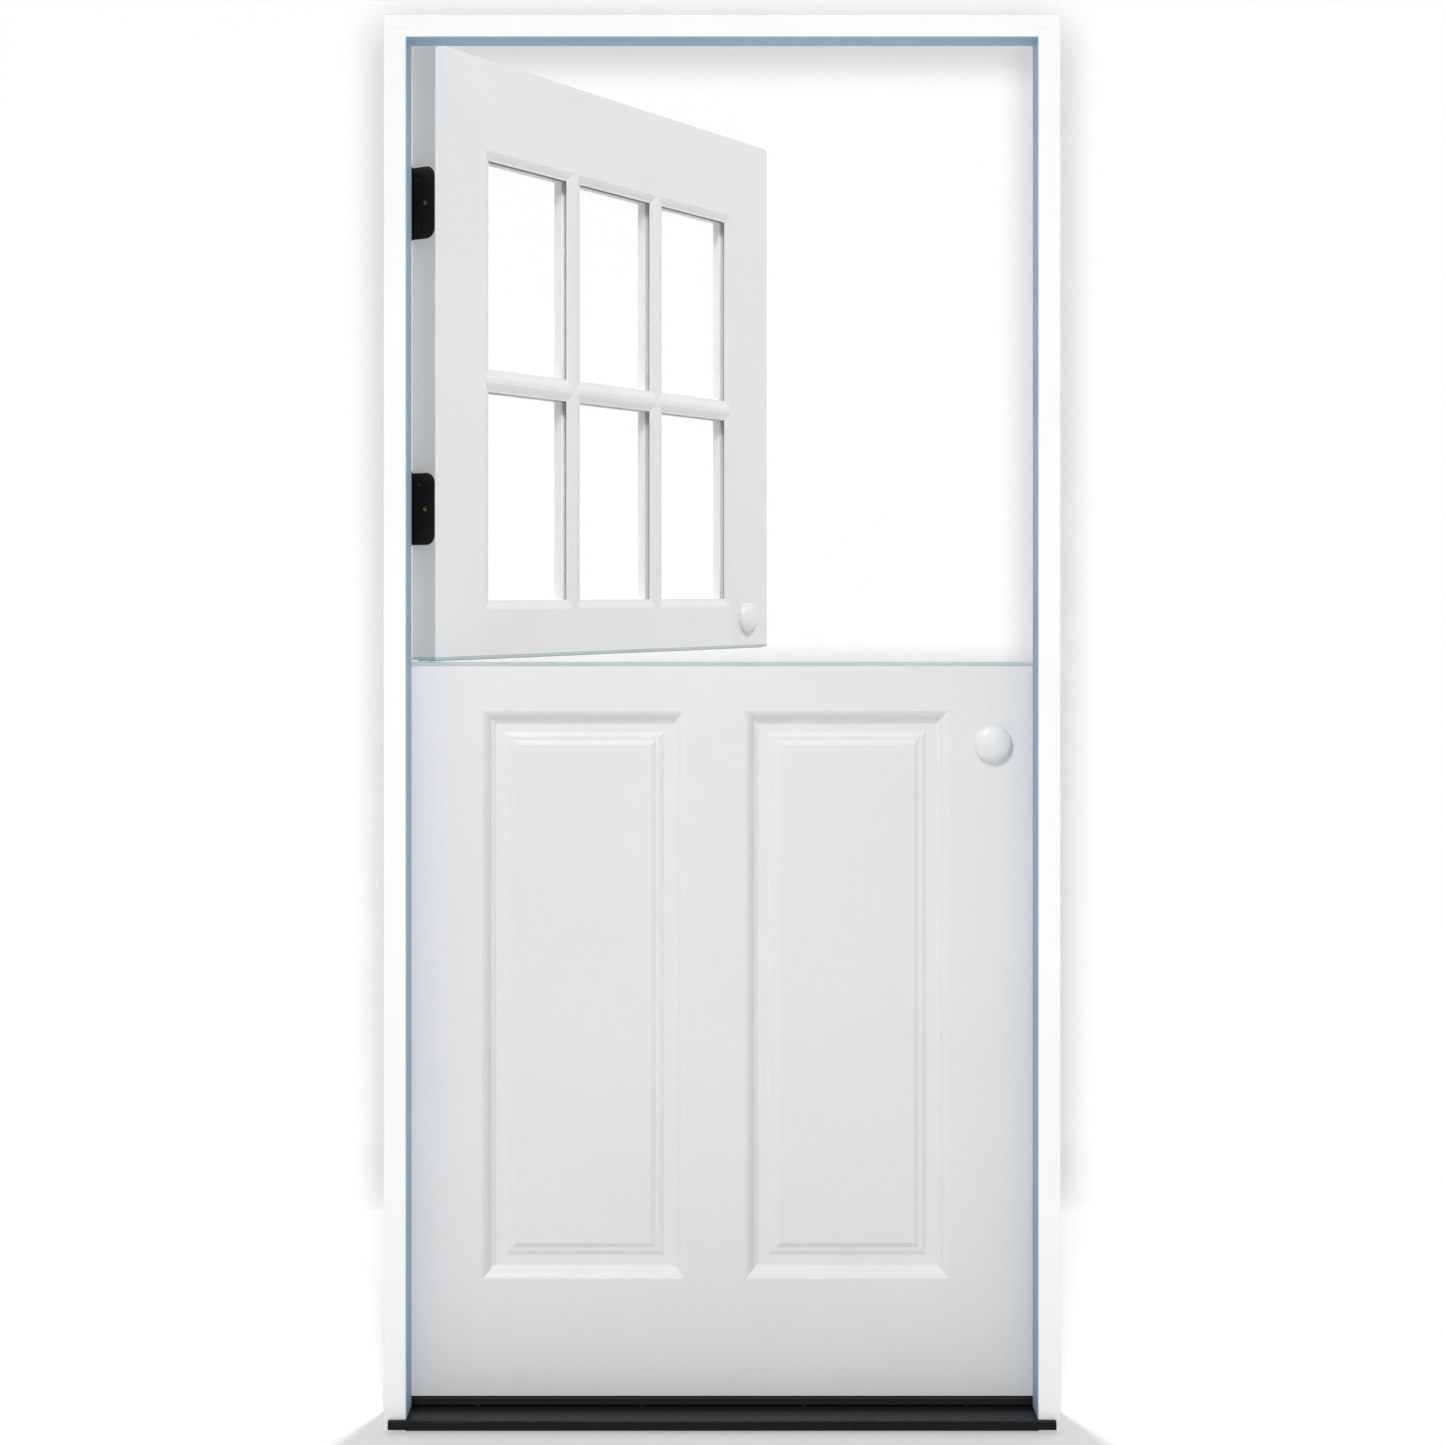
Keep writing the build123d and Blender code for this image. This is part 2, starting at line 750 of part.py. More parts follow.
with BuildPart() as upper_lock_stile_part:
    with BuildSketch(member_plane((leaf_right, face, leaf_top), (-1, 0, 0))):
        glazed_section(upper_lock_stile)
    extrude(amount=leaf_top - upper_wood_bottom)
    cut_lock_bores(upper_bore_height)
save(upper_lock_stile_part, "upper_lock_stile", open_angle)

with BuildPart() as upper_top_rail_part:
    with BuildSketch(member_plane((glazed_left, face, leaf_top), (0, 0, -1))):
        glazed_section(upper_top_rail)
    extrude(amount=glazed_right - glazed_left)
    add(upper_hinge_stile_part.part, mode=Mode.SUBTRACT)
    add(upper_lock_stile_part.part, mode=Mode.SUBTRACT)
save(upper_top_rail_part, "upper_top_rail", open_angle)

with BuildPart() as meeting_rail_part:
    with BuildSketch(member_plane((glazed_right, face, upper_wood_bottom), (0, 0, 1))):
        glazed_section(glazed_bottom - upper_wood_bottom)
    extrude(amount=glazed_right - glazed_left)
    add(upper_hinge_stile_part.part, mode=Mode.SUBTRACT)
    add(upper_lock_stile_part.part, mode=Mode.SUBTRACT)
save(meeting_rail_part, "upper_meeting_rail", open_angle)

# The grid: each cell is the space between webs, the lite is what shows between mouldings
cell_width = (glazed_right - glazed_left - (lite_columns - 1) * bar_flat) / lite_columns
cell_height = (glazed_top - glazed_bottom - (lite_rows - 1) * bar_flat) / lite_rows
cell_lefts = [glazed_left + column * (cell_width + bar_flat) for column in range(lite_columns)]
cell_bottoms = [glazed_bottom + row * (cell_height + bar_flat) for row in range(lite_rows)]

upright_bars = []
for number, cell_left in enumerate(cell_lefts[1:], start=1):
    with BuildPart() as upright_bar:
        with BuildSketch(member_plane((cell_left - bar_flat / 2, face, glazed_bottom), (1, 0, 0))):
            bar_section()
        extrude(amount=glazed_top - glazed_bottom)
        add(upper_top_rail_part.part, mode=Mode.SUBTRACT)
        add(meeting_rail_part.part, mode=Mode.SUBTRACT)
    upright_bars.append(upright_bar)
    save(upright_bar, f"upright_bar_{number}", open_angle)

cross_height = cell_bottoms[1] - bar_flat / 2
for number, cell_left in enumerate(cell_lefts, start=1):
    with BuildPart() as cross_bar:
        with BuildSketch(member_plane((cell_left, face, cross_height), (0, 0, -1))):
            bar_section()
        extrude(amount=cell_width)
        add(upper_hinge_stile_part.part, mode=Mode.SUBTRACT)
        add(upper_lock_stile_part.part, mode=Mode.SUBTRACT)
        for upright_bar in upright_bars:
            add(upright_bar.part, mode=Mode.SUBTRACT)
    save(cross_bar, f"cross_bar_{number}", open_angle)


def mitre_sign(plane):
    """Side of the stick's outer edge on which its moulding lies, in the trapezium's plane."""
    across = Vector(0, -1, 0).cross(plane.z_dir)
    return 1 if across.dot(plane.x_dir) > 0 else -1


def mitred_bead(left, bottom, width, height, inward):
    """One stick of a cell's beading, its ends cut to the mitre lines of the cell."""
    starts = {
        (1, 0): (left, face, bottom),
        (-1, 0): (left + width, face, bottom + height),
        (0, -1): (left, face, bottom + height),
        (0, 1): (left + width, face, bottom),
    }
    upright = inward[0] != 0
    length = height if upright else width
    with BuildPart() as bead:
        plane = member_plane(starts[inward], (inward[0], 0, inward[1]))
        with BuildSketch(plane):
            bead_section()
        extrude(amount=length)
        # Seen along the leaf's thickness, a mitred stick is a trapezium
        with BuildSketch(Plane(origin=starts[inward], x_dir=plane.z_dir, z_dir=(0, -1, 0))):
            with BuildLine():
                toward = glass_moulding * mitre_sign(plane)
                Polyline(
                    (mitre_gap, 0),
                    (length - mitre_gap, 0),
                    (length - glass_moulding - mitre_gap, toward),
                    (glass_moulding + mitre_gap, toward),
                    close=True,
                )
            make_face()
        extrude(amount=-leaf_thickness, mode=Mode.INTERSECT)
    return bead


pane_margin = glass_moulding - pane_bite
pane_number = 0
bead_sticks = []
for cell_bottom in reversed(cell_bottoms):
    for cell_left in cell_lefts:
        pane_number += 1
        with BuildPart() as pane:
            with Locations((cell_left + pane_margin, face + pane_front,
                            cell_bottom + pane_margin)):
                Box(cell_width - 2 * pane_margin, pane_thickness, cell_height - 2 * pane_margin,
                    align=(Align.MIN, Align.MIN, Align.MIN))
        save(pane, f"pane_{pane_number}", open_angle)
        for inward in ((1, 0), (-1, 0), (0, 1), (0, -1)):
            bead = mitred_bead(cell_left, cell_bottom, cell_width, cell_height, inward)
            bead_sticks.append(bead.part)

with BuildPart() as glazing_beads:
    for stick in bead_sticks:
        add(stick)
save(glazing_beads, "glazing_beads", open_angle)

with BuildPart() as upper_bottom_seal:
    with BuildSketch(Plane.YZ.offset(leaf_left)):
        with Locations((face, upper_bottom)):
            Rectangle(leaf_thickness, bottom_strip, align=(Align.MIN, Align.MIN))
        with Locations((face + seal_rib_inset, upper_bottom), (back - seal_rib_inset, upper_bottom)):
            Circle(seal_rib)
    extrude(amount=leaf_right - leaf_left)
save(upper_bottom_seal, "upper_bottom_seal", open_angle)

upper_bore_cap = bore_cap(upper_bore_height)
save(upper_bore_cap, "upper_bore_cap", open_angle)
hang("upper", upper_hinge_heights, open_angle)

# Lower leaf: the same joinery around a mullion and two raised panels
with BuildPart() as lower_hinge_stile_part:
    with BuildSketch(member_plane((leaf_left, face, leaf_bottom), (1, 0, 0))):
        panelled_section(lower_hinge_stile)
    extrude(amount=lower_wood_top - leaf_bottom)
    cut_hinge_mortises(lower_hinge_heights, leaf_left, 1, leaf_screw_length)
save(lower_hinge_stile_part, "lower_hinge_stile")

with BuildPart() as lower_lock_stile_part:
    with BuildSketch(member_plane((leaf_right, face, lower_wood_top), (-1, 0, 0))):
        panelled_section(lower_lock_stile)
    extrude(amount=lower_wood_top - leaf_bottom)
    cut_lock_bores(lower_bore_height)
save(lower_lock_stile_part, "lower_lock_stile")

with BuildPart() as lower_top_rail_part:
    with BuildSketch(member_plane((panelled_left, face, lower_wood_top), (0, 0, -1))):
        panelled_section(lower_wood_top - panelled_top)
    extrude(amount=panelled_right - panelled_left)
    add(lower_hinge_stile_part.part, mode=Mode.SUBTRACT)
    add(lower_lock_stile_part.part, mode=Mode.SUBTRACT)
save(lower_top_rail_part, "lower_top_rail")

stem_middle = (face + back) / 2
with BuildPart() as bottom_rail_part:
    with BuildSketch(member_plane((panelled_right, face, leaf_bottom), (0, 0, 1))):
        panelled_section(bottom_rail)
    extrude(amount=panelled_right - panelled_left)
    add(lower_hinge_stile_part.part, mode=Mode.SUBTRACT)
    add(lower_lock_stile_part.part, mode=Mode.SUBTRACT)
    with Locations((0, stem_middle, leaf_bottom)):
        Box(frame_width, sweep_stem_width, sweep_stem_height, align=standing,
            mode=Mode.SUBTRACT)
save(bottom_rail_part, "lower_bottom_rail")

mullion_middle = (panelled_left + panelled_right) / 2
with BuildPart() as mullion:
    with BuildSketch(member_plane((mullion_middle, face, panelled_bottom), (1, 0, 0))):
        mullion_section()
    extrude(amount=panelled_top - panelled_bottom)
    add(lower_top_rail_part.part, mode=Mode.SUBTRACT)
    add(bottom_rail_part.part, mode=Mode.SUBTRACT)
save(mullion, "lower_mullion")


def raised_panel(left, right):
    """Panel whose tongue sits in the grooves and whose field rises in two bevelled steps."""
    width = right - left
    height = panelled_top - panelled_bottom
    middle = ((left + right) / 2, (face + back) / 2, (panelled_bottom + panelled_top) / 2)
    shrink = 2 * (panel_moulding + panel_margin)
    step = 2 * (step_run + step_ledge)
    with BuildPart() as panel:
        with Locations(middle):
            Box(width - 2 * tongue_clearance, groove_width, height - 2 * tongue_clearance)
        for outward in (-1, 1):
            for level in (0, 1):
                with BuildSketch(Plane(
                    origin=(middle[0], middle[1] + outward * (groove_width / 2
                                                              + level * step_rise), middle[2]),
                    x_dir=(1, 0, 0),
                    z_dir=(0, outward, 0),
                )):
                    Rectangle(width - shrink - level * step, height - shrink - level * step)
                extrude(amount=step_rise, taper=step_slope)
    return panel


panel_left = raised_panel(panelled_left, mullion_middle - mullion_width / 2)
save(panel_left, "raised_panel_left")
panel_right = raised_panel(mullion_middle + mullion_width / 2, panelled_right)
save(panel_right, "raised_panel_right")

with BuildPart() as lower_top_strip:
    with BuildSketch(Plane.YZ.offset(leaf_left)):
        with Locations((face, lower_wood_top)):
            Rectangle(leaf_thickness, top_strip, align=(Align.MIN, Align.MIN))
    extrude(amount=leaf_right - leaf_left)
    fillet(lower_top_strip.edges().filter_by(Axis.X).group_by(Axis.Z)[-1], strip_round)
save(lower_top_strip, "lower_top_strip")

# The sweep's plate covers the leaf's bottom edge; its stem sits in the rail's groove
with BuildPart() as bottom_sweep:
    with Locations(((leaf_left + leaf_right) / 2, stem_middle, leaf_bottom)):
        Box(leaf_right - leaf_left, leaf_thickness, sweep_plate, align=hanging)
    with Locations(((panelled_left + panelled_right) / 2, stem_middle, leaf_bottom)):
        Box(panelled_right - panelled_left, sweep_stem_width, sweep_stem_height,
            align=standing)
save(bottom_sweep, "lower_bottom_sweep")

lower_bore_cap = bore_cap(lower_bore_height)
save(lower_bore_cap, "lower_bore_cap")
hang("lower", lower_hinge_heights, 0.0)
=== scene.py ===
# %% [markdown]
# # A dutch stable door, dressed for its picture
# The door is two leaves in one frame: a glazed one that stands open and a panelled one that
# is shut. Its wood, glass and metal are already solid pieces, so the first step only brings
# them in, and nothing here moves or reshapes them.

# %% Load the door
import bpy
import json
import numpy as np
from math import cos, pi, radians, sin
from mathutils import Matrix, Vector

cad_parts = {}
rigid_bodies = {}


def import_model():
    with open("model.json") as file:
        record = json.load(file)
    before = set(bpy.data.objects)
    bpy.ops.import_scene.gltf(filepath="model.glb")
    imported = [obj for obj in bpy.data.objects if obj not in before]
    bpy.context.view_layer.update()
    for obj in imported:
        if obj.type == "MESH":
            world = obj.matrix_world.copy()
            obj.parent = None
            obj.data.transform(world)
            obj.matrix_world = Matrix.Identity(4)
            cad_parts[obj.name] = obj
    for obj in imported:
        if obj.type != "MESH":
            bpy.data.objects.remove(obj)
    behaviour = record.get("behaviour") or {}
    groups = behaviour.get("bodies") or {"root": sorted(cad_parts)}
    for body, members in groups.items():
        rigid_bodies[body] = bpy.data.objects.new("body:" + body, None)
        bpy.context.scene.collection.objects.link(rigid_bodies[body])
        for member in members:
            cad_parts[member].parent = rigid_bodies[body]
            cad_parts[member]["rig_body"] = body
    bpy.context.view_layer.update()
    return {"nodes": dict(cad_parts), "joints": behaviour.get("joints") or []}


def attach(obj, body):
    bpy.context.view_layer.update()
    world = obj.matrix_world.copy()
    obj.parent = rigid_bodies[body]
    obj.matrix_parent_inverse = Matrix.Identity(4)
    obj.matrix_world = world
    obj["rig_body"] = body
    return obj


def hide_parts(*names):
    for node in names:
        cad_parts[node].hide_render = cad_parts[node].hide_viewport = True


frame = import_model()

nodes = frame["nodes"]

# %% [markdown]
# ## The camera
# The picture was taken straight on, level, from a little over three metres and at chest
# height. A level camera keeps the jambs upright; aiming it down would make them lean. The
# frame is then brought to the middle of the picture by sliding the view down, which is what
# the lens shift is for.

# %% Camera
picture_side = 1445
sensor_width = 36.0
lens = 54.12
eye = Vector((0.0, -3.128, 1.212))

eye_data = bpy.data.cameras.new("eye")
eye_data.sensor_width = sensor_width
eye_data.lens = lens
eye_data.shift_x = 0.0003
eye_data.shift_y = -0.0922
eye_object = bpy.data.objects.new("eye", eye_data)
eye_object.location = eye
eye_object.rotation_euler = (pi / 2, 0.0, 0.0)
bpy.context.scene.collection.objects.link(eye_object)
bpy.context.scene.camera = eye_object
bpy.context.scene.view_settings.view_transform = "Standard"
print("millimetres to a pixel at the frame:",
      1000 * -eye.y * sensor_width / lens / picture_side)

# %% [markdown]
# ## Skins from numbers
# Every new surface here is a grid of points worked out at once with numpy: one direction of
# the grid runs along a profile, the other round or along a path. One helper turns such a
# grid into a mesh, so each piece only has to say where its points are.

# %% Helpers: a mesh from a grid of points, and a test of which way its faces point
def skin_faces(rows, columns, wrap_rows, wrap_columns):
    """Corner numbers of the quads of a grid, whose rows or columns may join end to start."""
    row = np.arange(rows if wrap_rows else rows - 1)
    column = np.arange(columns if wrap_columns else columns - 1)
    r, c = np.meshgrid(row, column, indexing="ij")
    below, beside = (r + 1) % rows, (c + 1) % columns
    quads = np.stack((r * columns + c, r * columns + beside,
                      below * columns + beside, below * columns + c), -1)
    return quads.reshape(-1, 4)


def make_piece(name, points, *face_arrays):
    """A smooth mesh object from one array of points and one or more arrays of faces."""
    mesh = bpy.data.meshes.new(name)
    mesh.from_pydata(points.tolist(), [], sum((faces.tolist() for faces in face_arrays), []))
    mesh.polygons.foreach_set("use_smooth", [True] * len(mesh.polygons))
    piece = bpy.data.objects.new(name, mesh)
    bpy.context.scene.collection.objects.link(piece)
    return piece


def enclosed(points, faces):
    """Six times the volume inside a closed skin: positive if its faces point outwards."""
    a, b, c, d = (points[faces[:, k]] for k in range(4))
    return (np.einsum("ij,ij->", a, np.cross(b, c)) + np.einsum("ij,ij->", a, np.cross(c, d)))


print("a 3 by 4 grid has", len(skin_faces(3, 4, False, True)), "faces when it is wrapped")

# %% [markdown]
# ## Floor and backdrop
# A studio sweep is one sheet that lies on the floor and curves up into a wall, so that no
# line shows where they meet. Its section is a straight run, a quarter circle and a straight
# rise. The grid is fine, because each point also carries a number that its finish needs: how
# much light the paint has to make up there, so that the whole sheet shows the same white.

# %% Sweep
sweep_half_width = 9.0
sweep_near = -9.0
sweep_wall = 1.22
sweep_radius = 0.12
sweep_height = 7.0
run_points, bend_points, rise_points, across_points = 42, 13, 28, 73

bend = np.linspace(0.0, pi / 2, bend_points)
run_y = np.linspace(sweep_near, sweep_wall - sweep_radius, run_points)[:-1]
rise_z = np.linspace(sweep_radius, sweep_height, rise_points)[1:]
section_y = np.concatenate((run_y, sweep_wall - sweep_radius + sweep_radius * np.sin(bend),
                            np.full(len(rise_z), sweep_wall)))
section_z = np.concatenate((np.zeros(len(run_y)), sweep_radius * (1 - np.cos(bend)), rise_z))
section_turn = np.concatenate((np.zeros(len(run_y)), bend, np.full(len(rise_z), pi / 2)))
across = np.linspace(-sweep_half_width, sweep_half_width, across_points)
sweep_points = np.stack((
    np.repeat(across[:, None], len(section_y), 1),
    np.repeat(section_y[None], len(across), 0),
    np.repeat(section_z[None], len(across), 0),
), -1).reshape(-1, 3)
sweep_faces = skin_faces(len(across), len(section_y), False, False)[:, ::-1]
sweep = make_piece("studio_sweep", sweep_points, sweep_faces)
print("sweep faces the door:", tuple(sweep.data.polygons[-1].normal))

# %% [markdown]
# ## Finishes from nodes
# A finish is a tree of shader nodes. Three small helpers keep the cells below short: one
# starts a material, one adds a node and fills in its sockets, one wires two sockets. Colours
# are given as they look on a screen, from 0 to 255, and turned into the light that they
# stand for.

# %% Helpers for finishes
def shade(red, green, blue):
    """Linear colour of a screen colour from 0 to 255: x/12.92 when dark, a 2.4 power above."""
    screen = np.array((red, green, blue)) / 255
    linear = np.where(screen <= 0.04045, screen / 12.92, ((screen + 0.055) / 1.055) ** 2.4)
    return (*(float(v) for v in linear), 1.0)


def put(tree, kind, sockets=None, **settings):
    """Adds a node to a tree: settings are its properties, sockets its inputs' own values."""
    node = tree.nodes.new(kind)
    for key, value in settings.items():
        setattr(node, key, value)
    for key, value in (sockets or {}).items():
        node.inputs[key].default_value = value
    return node


def wire(tree, start, end):
    """Joins an output socket to an input socket."""
    tree.links.new(start, end)


def start_finish(name, color, roughness, **sockets):
    """A material with one Principled shader; further sockets are given by their names."""
    material = bpy.data.materials.new(name)
    material.use_nodes = True
    shader = material.node_tree.nodes["Principled BSDF"]
    shader.inputs["Base Color"].default_value = color
    shader.inputs["Roughness"].default_value = roughness
    for key, value in sockets.items():
        shader.inputs[key.replace("_", " ")].default_value = value
    return material, material.node_tree, shader


print("screen 231 is", round(shade(231, 231, 231)[0], 3), "of the light")

# %% [markdown]
# ## A white sheet that still takes a shadow
# A catalogue picture has a pure white ground, yet the door throws a narrow soft shadow on
# it. The shadow comes from two lamps that light only the sheet: one just above the lens,
# for the shadow round the frame, and one high up behind, for the shadow in front of the
# sill. Their light weakens with the slant at which it meets the sheet, so the sheet would
# show bands of grey. Each point therefore glows, only for rays that look at it, by what is
# missing there from white: the white level, less what the paint sends back of the room's
# share and of each lamp's share times the cosine of its slant. Where the door blocks a lamp,
# that lamp's part is missing, which is the shadow. The level is a little under one, because
# light that bounces off the door and the sheet itself makes up the rest. Seen from behind
# the sheet lets everything through, because otherwise it would hide the door's room side.

# %% What is missing from white at each point of the sweep
room_share = 0.50
sweep_paint = 0.50
sweep_white_level = 0.96
# Each lamp of the shadow: its place, its share of full light and its radius
shadow_lamps = {"lens_shadow_lamp": (eye + Vector((0.0, 0.0, 0.06)), 1.26, 0.19),
                "high_shadow_lamp": (Vector((0.0, 1.30, 4.0)), 0.64, 0.12)}

sweep_normals = np.stack((np.zeros(len(section_turn)), -np.sin(section_turn),
                          np.cos(section_turn)), -1)
sweep_normals = np.tile(sweep_normals, (len(across), 1))
missing = np.full(len(sweep_points), sweep_white_level - sweep_paint * room_share)
for place, share, _ in shadow_lamps.values():
    to_lamp = np.array(place) - sweep_points
    slant = np.einsum("ij,ij->i", to_lamp, sweep_normals) / np.linalg.norm(to_lamp, axis=1)
    missing = missing - sweep_paint * share * np.clip(slant, 0.0, 1.0)
missing_note = sweep.data.attributes.new("missing_white", "FLOAT", "POINT")
missing_note.data.foreach_set("value", missing)
print("missing white from", round(missing.min(), 2), "to", round(missing.max(), 2))

# %% White for the eye, shaded for the shadow
def looked_at(tree):
    """Socket that is 1 for rays that look at a surface: from the camera, by gloss or by glass."""
    path = put(tree, "ShaderNodeLightPath")
    seen = put(tree, "ShaderNodeMath", operation="MAXIMUM")
    seen_at_all = put(tree, "ShaderNodeMath", operation="MAXIMUM")
    wire(tree, path.outputs["Is Camera Ray"], seen.inputs[0])
    wire(tree, path.outputs["Is Glossy Ray"], seen.inputs[1])
    wire(tree, seen.outputs[0], seen_at_all.inputs[0])
    wire(tree, path.outputs["Is Transmission Ray"], seen_at_all.inputs[1])
    return seen_at_all.outputs[0]


sweep_white, tree, shader = start_finish("studio_white", (sweep_paint,) * 3 + (1.0,), 1.0)
shader.inputs["Specular IOR Level"].default_value = 0.0
glow = put(tree, "ShaderNodeEmission")
missing_white = put(tree, "ShaderNodeAttribute", attribute_name="missing_white")
glow_share = put(tree, "ShaderNodeMath", operation="MULTIPLY")
wire(tree, looked_at(tree), glow_share.inputs[0])
wire(tree, missing_white.outputs["Fac"], glow_share.inputs[1])
wire(tree, glow_share.outputs[0], glow.inputs["Strength"])
both = put(tree, "ShaderNodeAddShader")
wire(tree, shader.outputs[0], both.inputs[0])
wire(tree, glow.outputs[0], both.inputs[1])
side = put(tree, "ShaderNodeNewGeometry")
clear = put(tree, "ShaderNodeBsdfTransparent")
pick = put(tree, "ShaderNodeMixShader")
wire(tree, side.outputs["Backfacing"], pick.inputs[0])
wire(tree, both.outputs[0], pick.inputs[1])
wire(tree, clear.outputs[0], pick.inputs[2])
wire(tree, pick.outputs[0], tree.nodes["Material Output"].inputs["Surface"])
sweep.data.materials.append(sweep_white)
print("sweep shows", sweep_white_level, "where nothing shades it")

# %% [markdown]
# ## Light
# The door is lit as for a catalogue: an even white room, a broad soft box in front for the
# frame, with a weak one like it for the shut leaf, and for each leaf a soft lamp from above
# and a little to the left, which brings out the mouldings. A lamp's power is worked out from
# the share of full light that it should add at the door, because its light spreads over the
# square of the distance. The open leaf turns its face away, so its lamp is turned about the
# hinges with it. Light linking is the flag that keeps each lamp's light off the rest: a lamp
# lists the pieces that it lights, and the ones that may throw a shadow in its light.

# %% World: an even room, plain white where it is looked at
world = bpy.data.worlds.new("room")
bpy.context.scene.world = world
world.use_nodes = True
tree = world.node_tree
tree.nodes.clear()
plain_white = (1.0, 1.0, 1.0, 1.0)
room_light = put(tree, "ShaderNodeBackground", {"Color": plain_white, "Strength": room_share})
room_white = put(tree, "ShaderNodeBackground", {"Color": plain_white, "Strength": 1.0})
pick = put(tree, "ShaderNodeMixShader")
room_out = put(tree, "ShaderNodeOutputWorld")
wire(tree, looked_at(tree), pick.inputs[0])
wire(tree, room_light.outputs[0], pick.inputs[1])
wire(tree, room_white.outputs[0], pick.inputs[2])
wire(tree, pick.outputs[0], room_out.inputs["Surface"])
print("the room gives", room_share, "of full light")

# %% Lists of pieces that the lamps light
list_names = ("frame", "upper_leaf", "lower_leaf", "stage")
lists = {name: bpy.data.collections.new(f"lamp_list_{name}") for name in list_names}


def light_up(piece, body):
    """Puts a piece in the list of the lamps that light its body."""
    lists[body].objects.link(piece)


for node in nodes.values():
    light_up(node, node["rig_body"])
light_up(sweep, "stage")

# %% Lamps
def hang_lamp(name, place, target, width, share, lights, shadows=None):
    """A round soft lamp; power = pi squared x distance squared x the share it adds.

    lights is the list of the pieces that it lights, shadows of those that may shade them:
    without that list, every piece may.
    """
    data = bpy.data.lights.new(name, "AREA")
    data.shape = "DISK"
    data.size = width
    reach = Vector(target) - Vector(place)
    data.energy = pi ** 2 * reach.length_squared * share
    lamp = bpy.data.objects.new(name, data)
    lamp.location = place
    lamp.rotation_euler = reach.to_track_quat("-Z", "Y").to_euler()
    lamp.light_linking.receiver_collection = lights
    lamp.light_linking.blocker_collection = shadows
    bpy.context.scene.collection.objects.link(lamp)
    print(name, "stands", round(reach.length, 2), "m away and has", round(data.energy), "W")


front_place = Vector((0.0, -5.2, 1.6))
frame_middle = Vector((0.0, 0.0, 1.1))
front_width = 4.6
hang_lamp("frame_box", front_place, frame_middle, front_width, 0.53, lists["frame"])

shut_middle = Vector((0.0, 0.056, 0.6))
above_left = Vector((-1.26, -2.6, 3.0))
hang_lamp("front_fill", front_place, shut_middle, front_width, 0.08, lists["lower_leaf"])
hang_lamp("side_lamp", shut_middle + 2 * above_left, shut_middle, width=2.0, share=0.42,
          lights=lists["lower_leaf"], shadows=lists["lower_leaf"])

open_turn = radians(57.15)
open_middle = Vector((-0.2, 0.5, 1.55))
own_above_left = Vector((
    above_left.x * cos(open_turn) - above_left.y * sin(open_turn),
    above_left.x * sin(open_turn) + above_left.y * cos(open_turn),
    above_left.z))
hang_lamp("leaf_lamp", open_middle + 3 * own_above_left, open_middle, width=3.0, share=0.52,
          lights=lists["upper_leaf"], shadows=lists["upper_leaf"])

# %% Lamps of the shadow, for the sweep alone
# Their light is made not to weaken with distance: a point lamp's Falloff node gives a
# constant strength, and the power is then 4 pi squared x the share. The leaf that stands
# open throws no shadow in it, so that the ground behind its lites stays white.
door_list = bpy.data.collections.new("lamp_list_door")
for body in ("frame", "lower_leaf"):
    door_list.children.link(lists[body])

for name, (place, share, radius) in shadow_lamps.items():
    data = bpy.data.lights.new(name, "POINT")
    data.shadow_soft_size = radius
    data.energy = 4 * pi ** 2 * share
    data.use_nodes = True
    tree = data.node_tree
    falloff = put(tree, "ShaderNodeLightFalloff", {"Strength": 1.0})
    wire(tree, falloff.outputs["Constant"], tree.nodes["Emission"].inputs["Strength"])
    lamp = bpy.data.objects.new(name, data)
    lamp.location = place
    lamp.light_linking.receiver_collection = lists["stage"]
    lamp.light_linking.blocker_collection = door_list
    bpy.context.scene.collection.objects.link(lamp)
    print(name, round(data.energy, 1), "W, without falloff")

# %% [markdown]
# ## Effects that several finishes share
# A node group is a small tree with named sockets of its own, made once and placed in each
# material with other values. Paint, vinyl and metal all need the same few effects here:
# slow changes of tone, the fine skin that a spray gun leaves, and long streaks such as wood
# grain under paint or the lines that a die draws along aluminium.

# %% Helpers: start a node group, place it, and the sockets of a mix of colours
# A Mix node has sockets for numbers, vectors and colours alike. For colours, 0 is the share
# of the second one, 6 and 7 are the two colours, and 2 is what comes out.
mix_share, mix_first, mix_second, mix_out = 0, 6, 7, 2


def start_effect(name, inputs, outputs):
    """A shader node group with the named sockets; returns it and its two end nodes."""
    effect = bpy.data.node_groups.new(name, "ShaderNodeTree")
    for socket, kind in inputs:
        effect.interface.new_socket(socket, in_out="INPUT", socket_type=kind)
    for socket, kind in outputs:
        effect.interface.new_socket(socket, in_out="OUTPUT", socket_type=kind)
    return effect, put(effect, "NodeGroupInput"), put(effect, "NodeGroupOutput")


def place_effect(tree, effect, **sockets):
    """Puts a group in a material, with values for its sockets."""
    node = put(tree, "ShaderNodeGroup", node_tree=effect)
    for key, value in sockets.items():
        node.inputs[key.replace("_", " ")].default_value = value
    return node


# %% Effect: slow changes of tone
tone_patches, given, made = start_effect(
    "tone_patches",
    [("Place", "NodeSocketVector"), ("Patches", "NodeSocketFloat"),
     ("Pale", "NodeSocketColor"), ("Deep", "NodeSocketColor")],
    [("Tone", "NodeSocketColor"), ("Share", "NodeSocketFloat")],
)
cloud = put(tone_patches, "ShaderNodeTexNoise", {"Detail": 5.0, "Roughness": 0.62})
spread = put(tone_patches, "ShaderNodeMapRange", {"From Min": 0.32, "From Max": 0.68})
blend = put(tone_patches, "ShaderNodeMix", data_type="RGBA")
wire(tone_patches, given.outputs["Place"], cloud.inputs["Vector"])
wire(tone_patches, given.outputs["Patches"], cloud.inputs["Scale"])
wire(tone_patches, cloud.outputs["Fac"], spread.inputs["Value"])
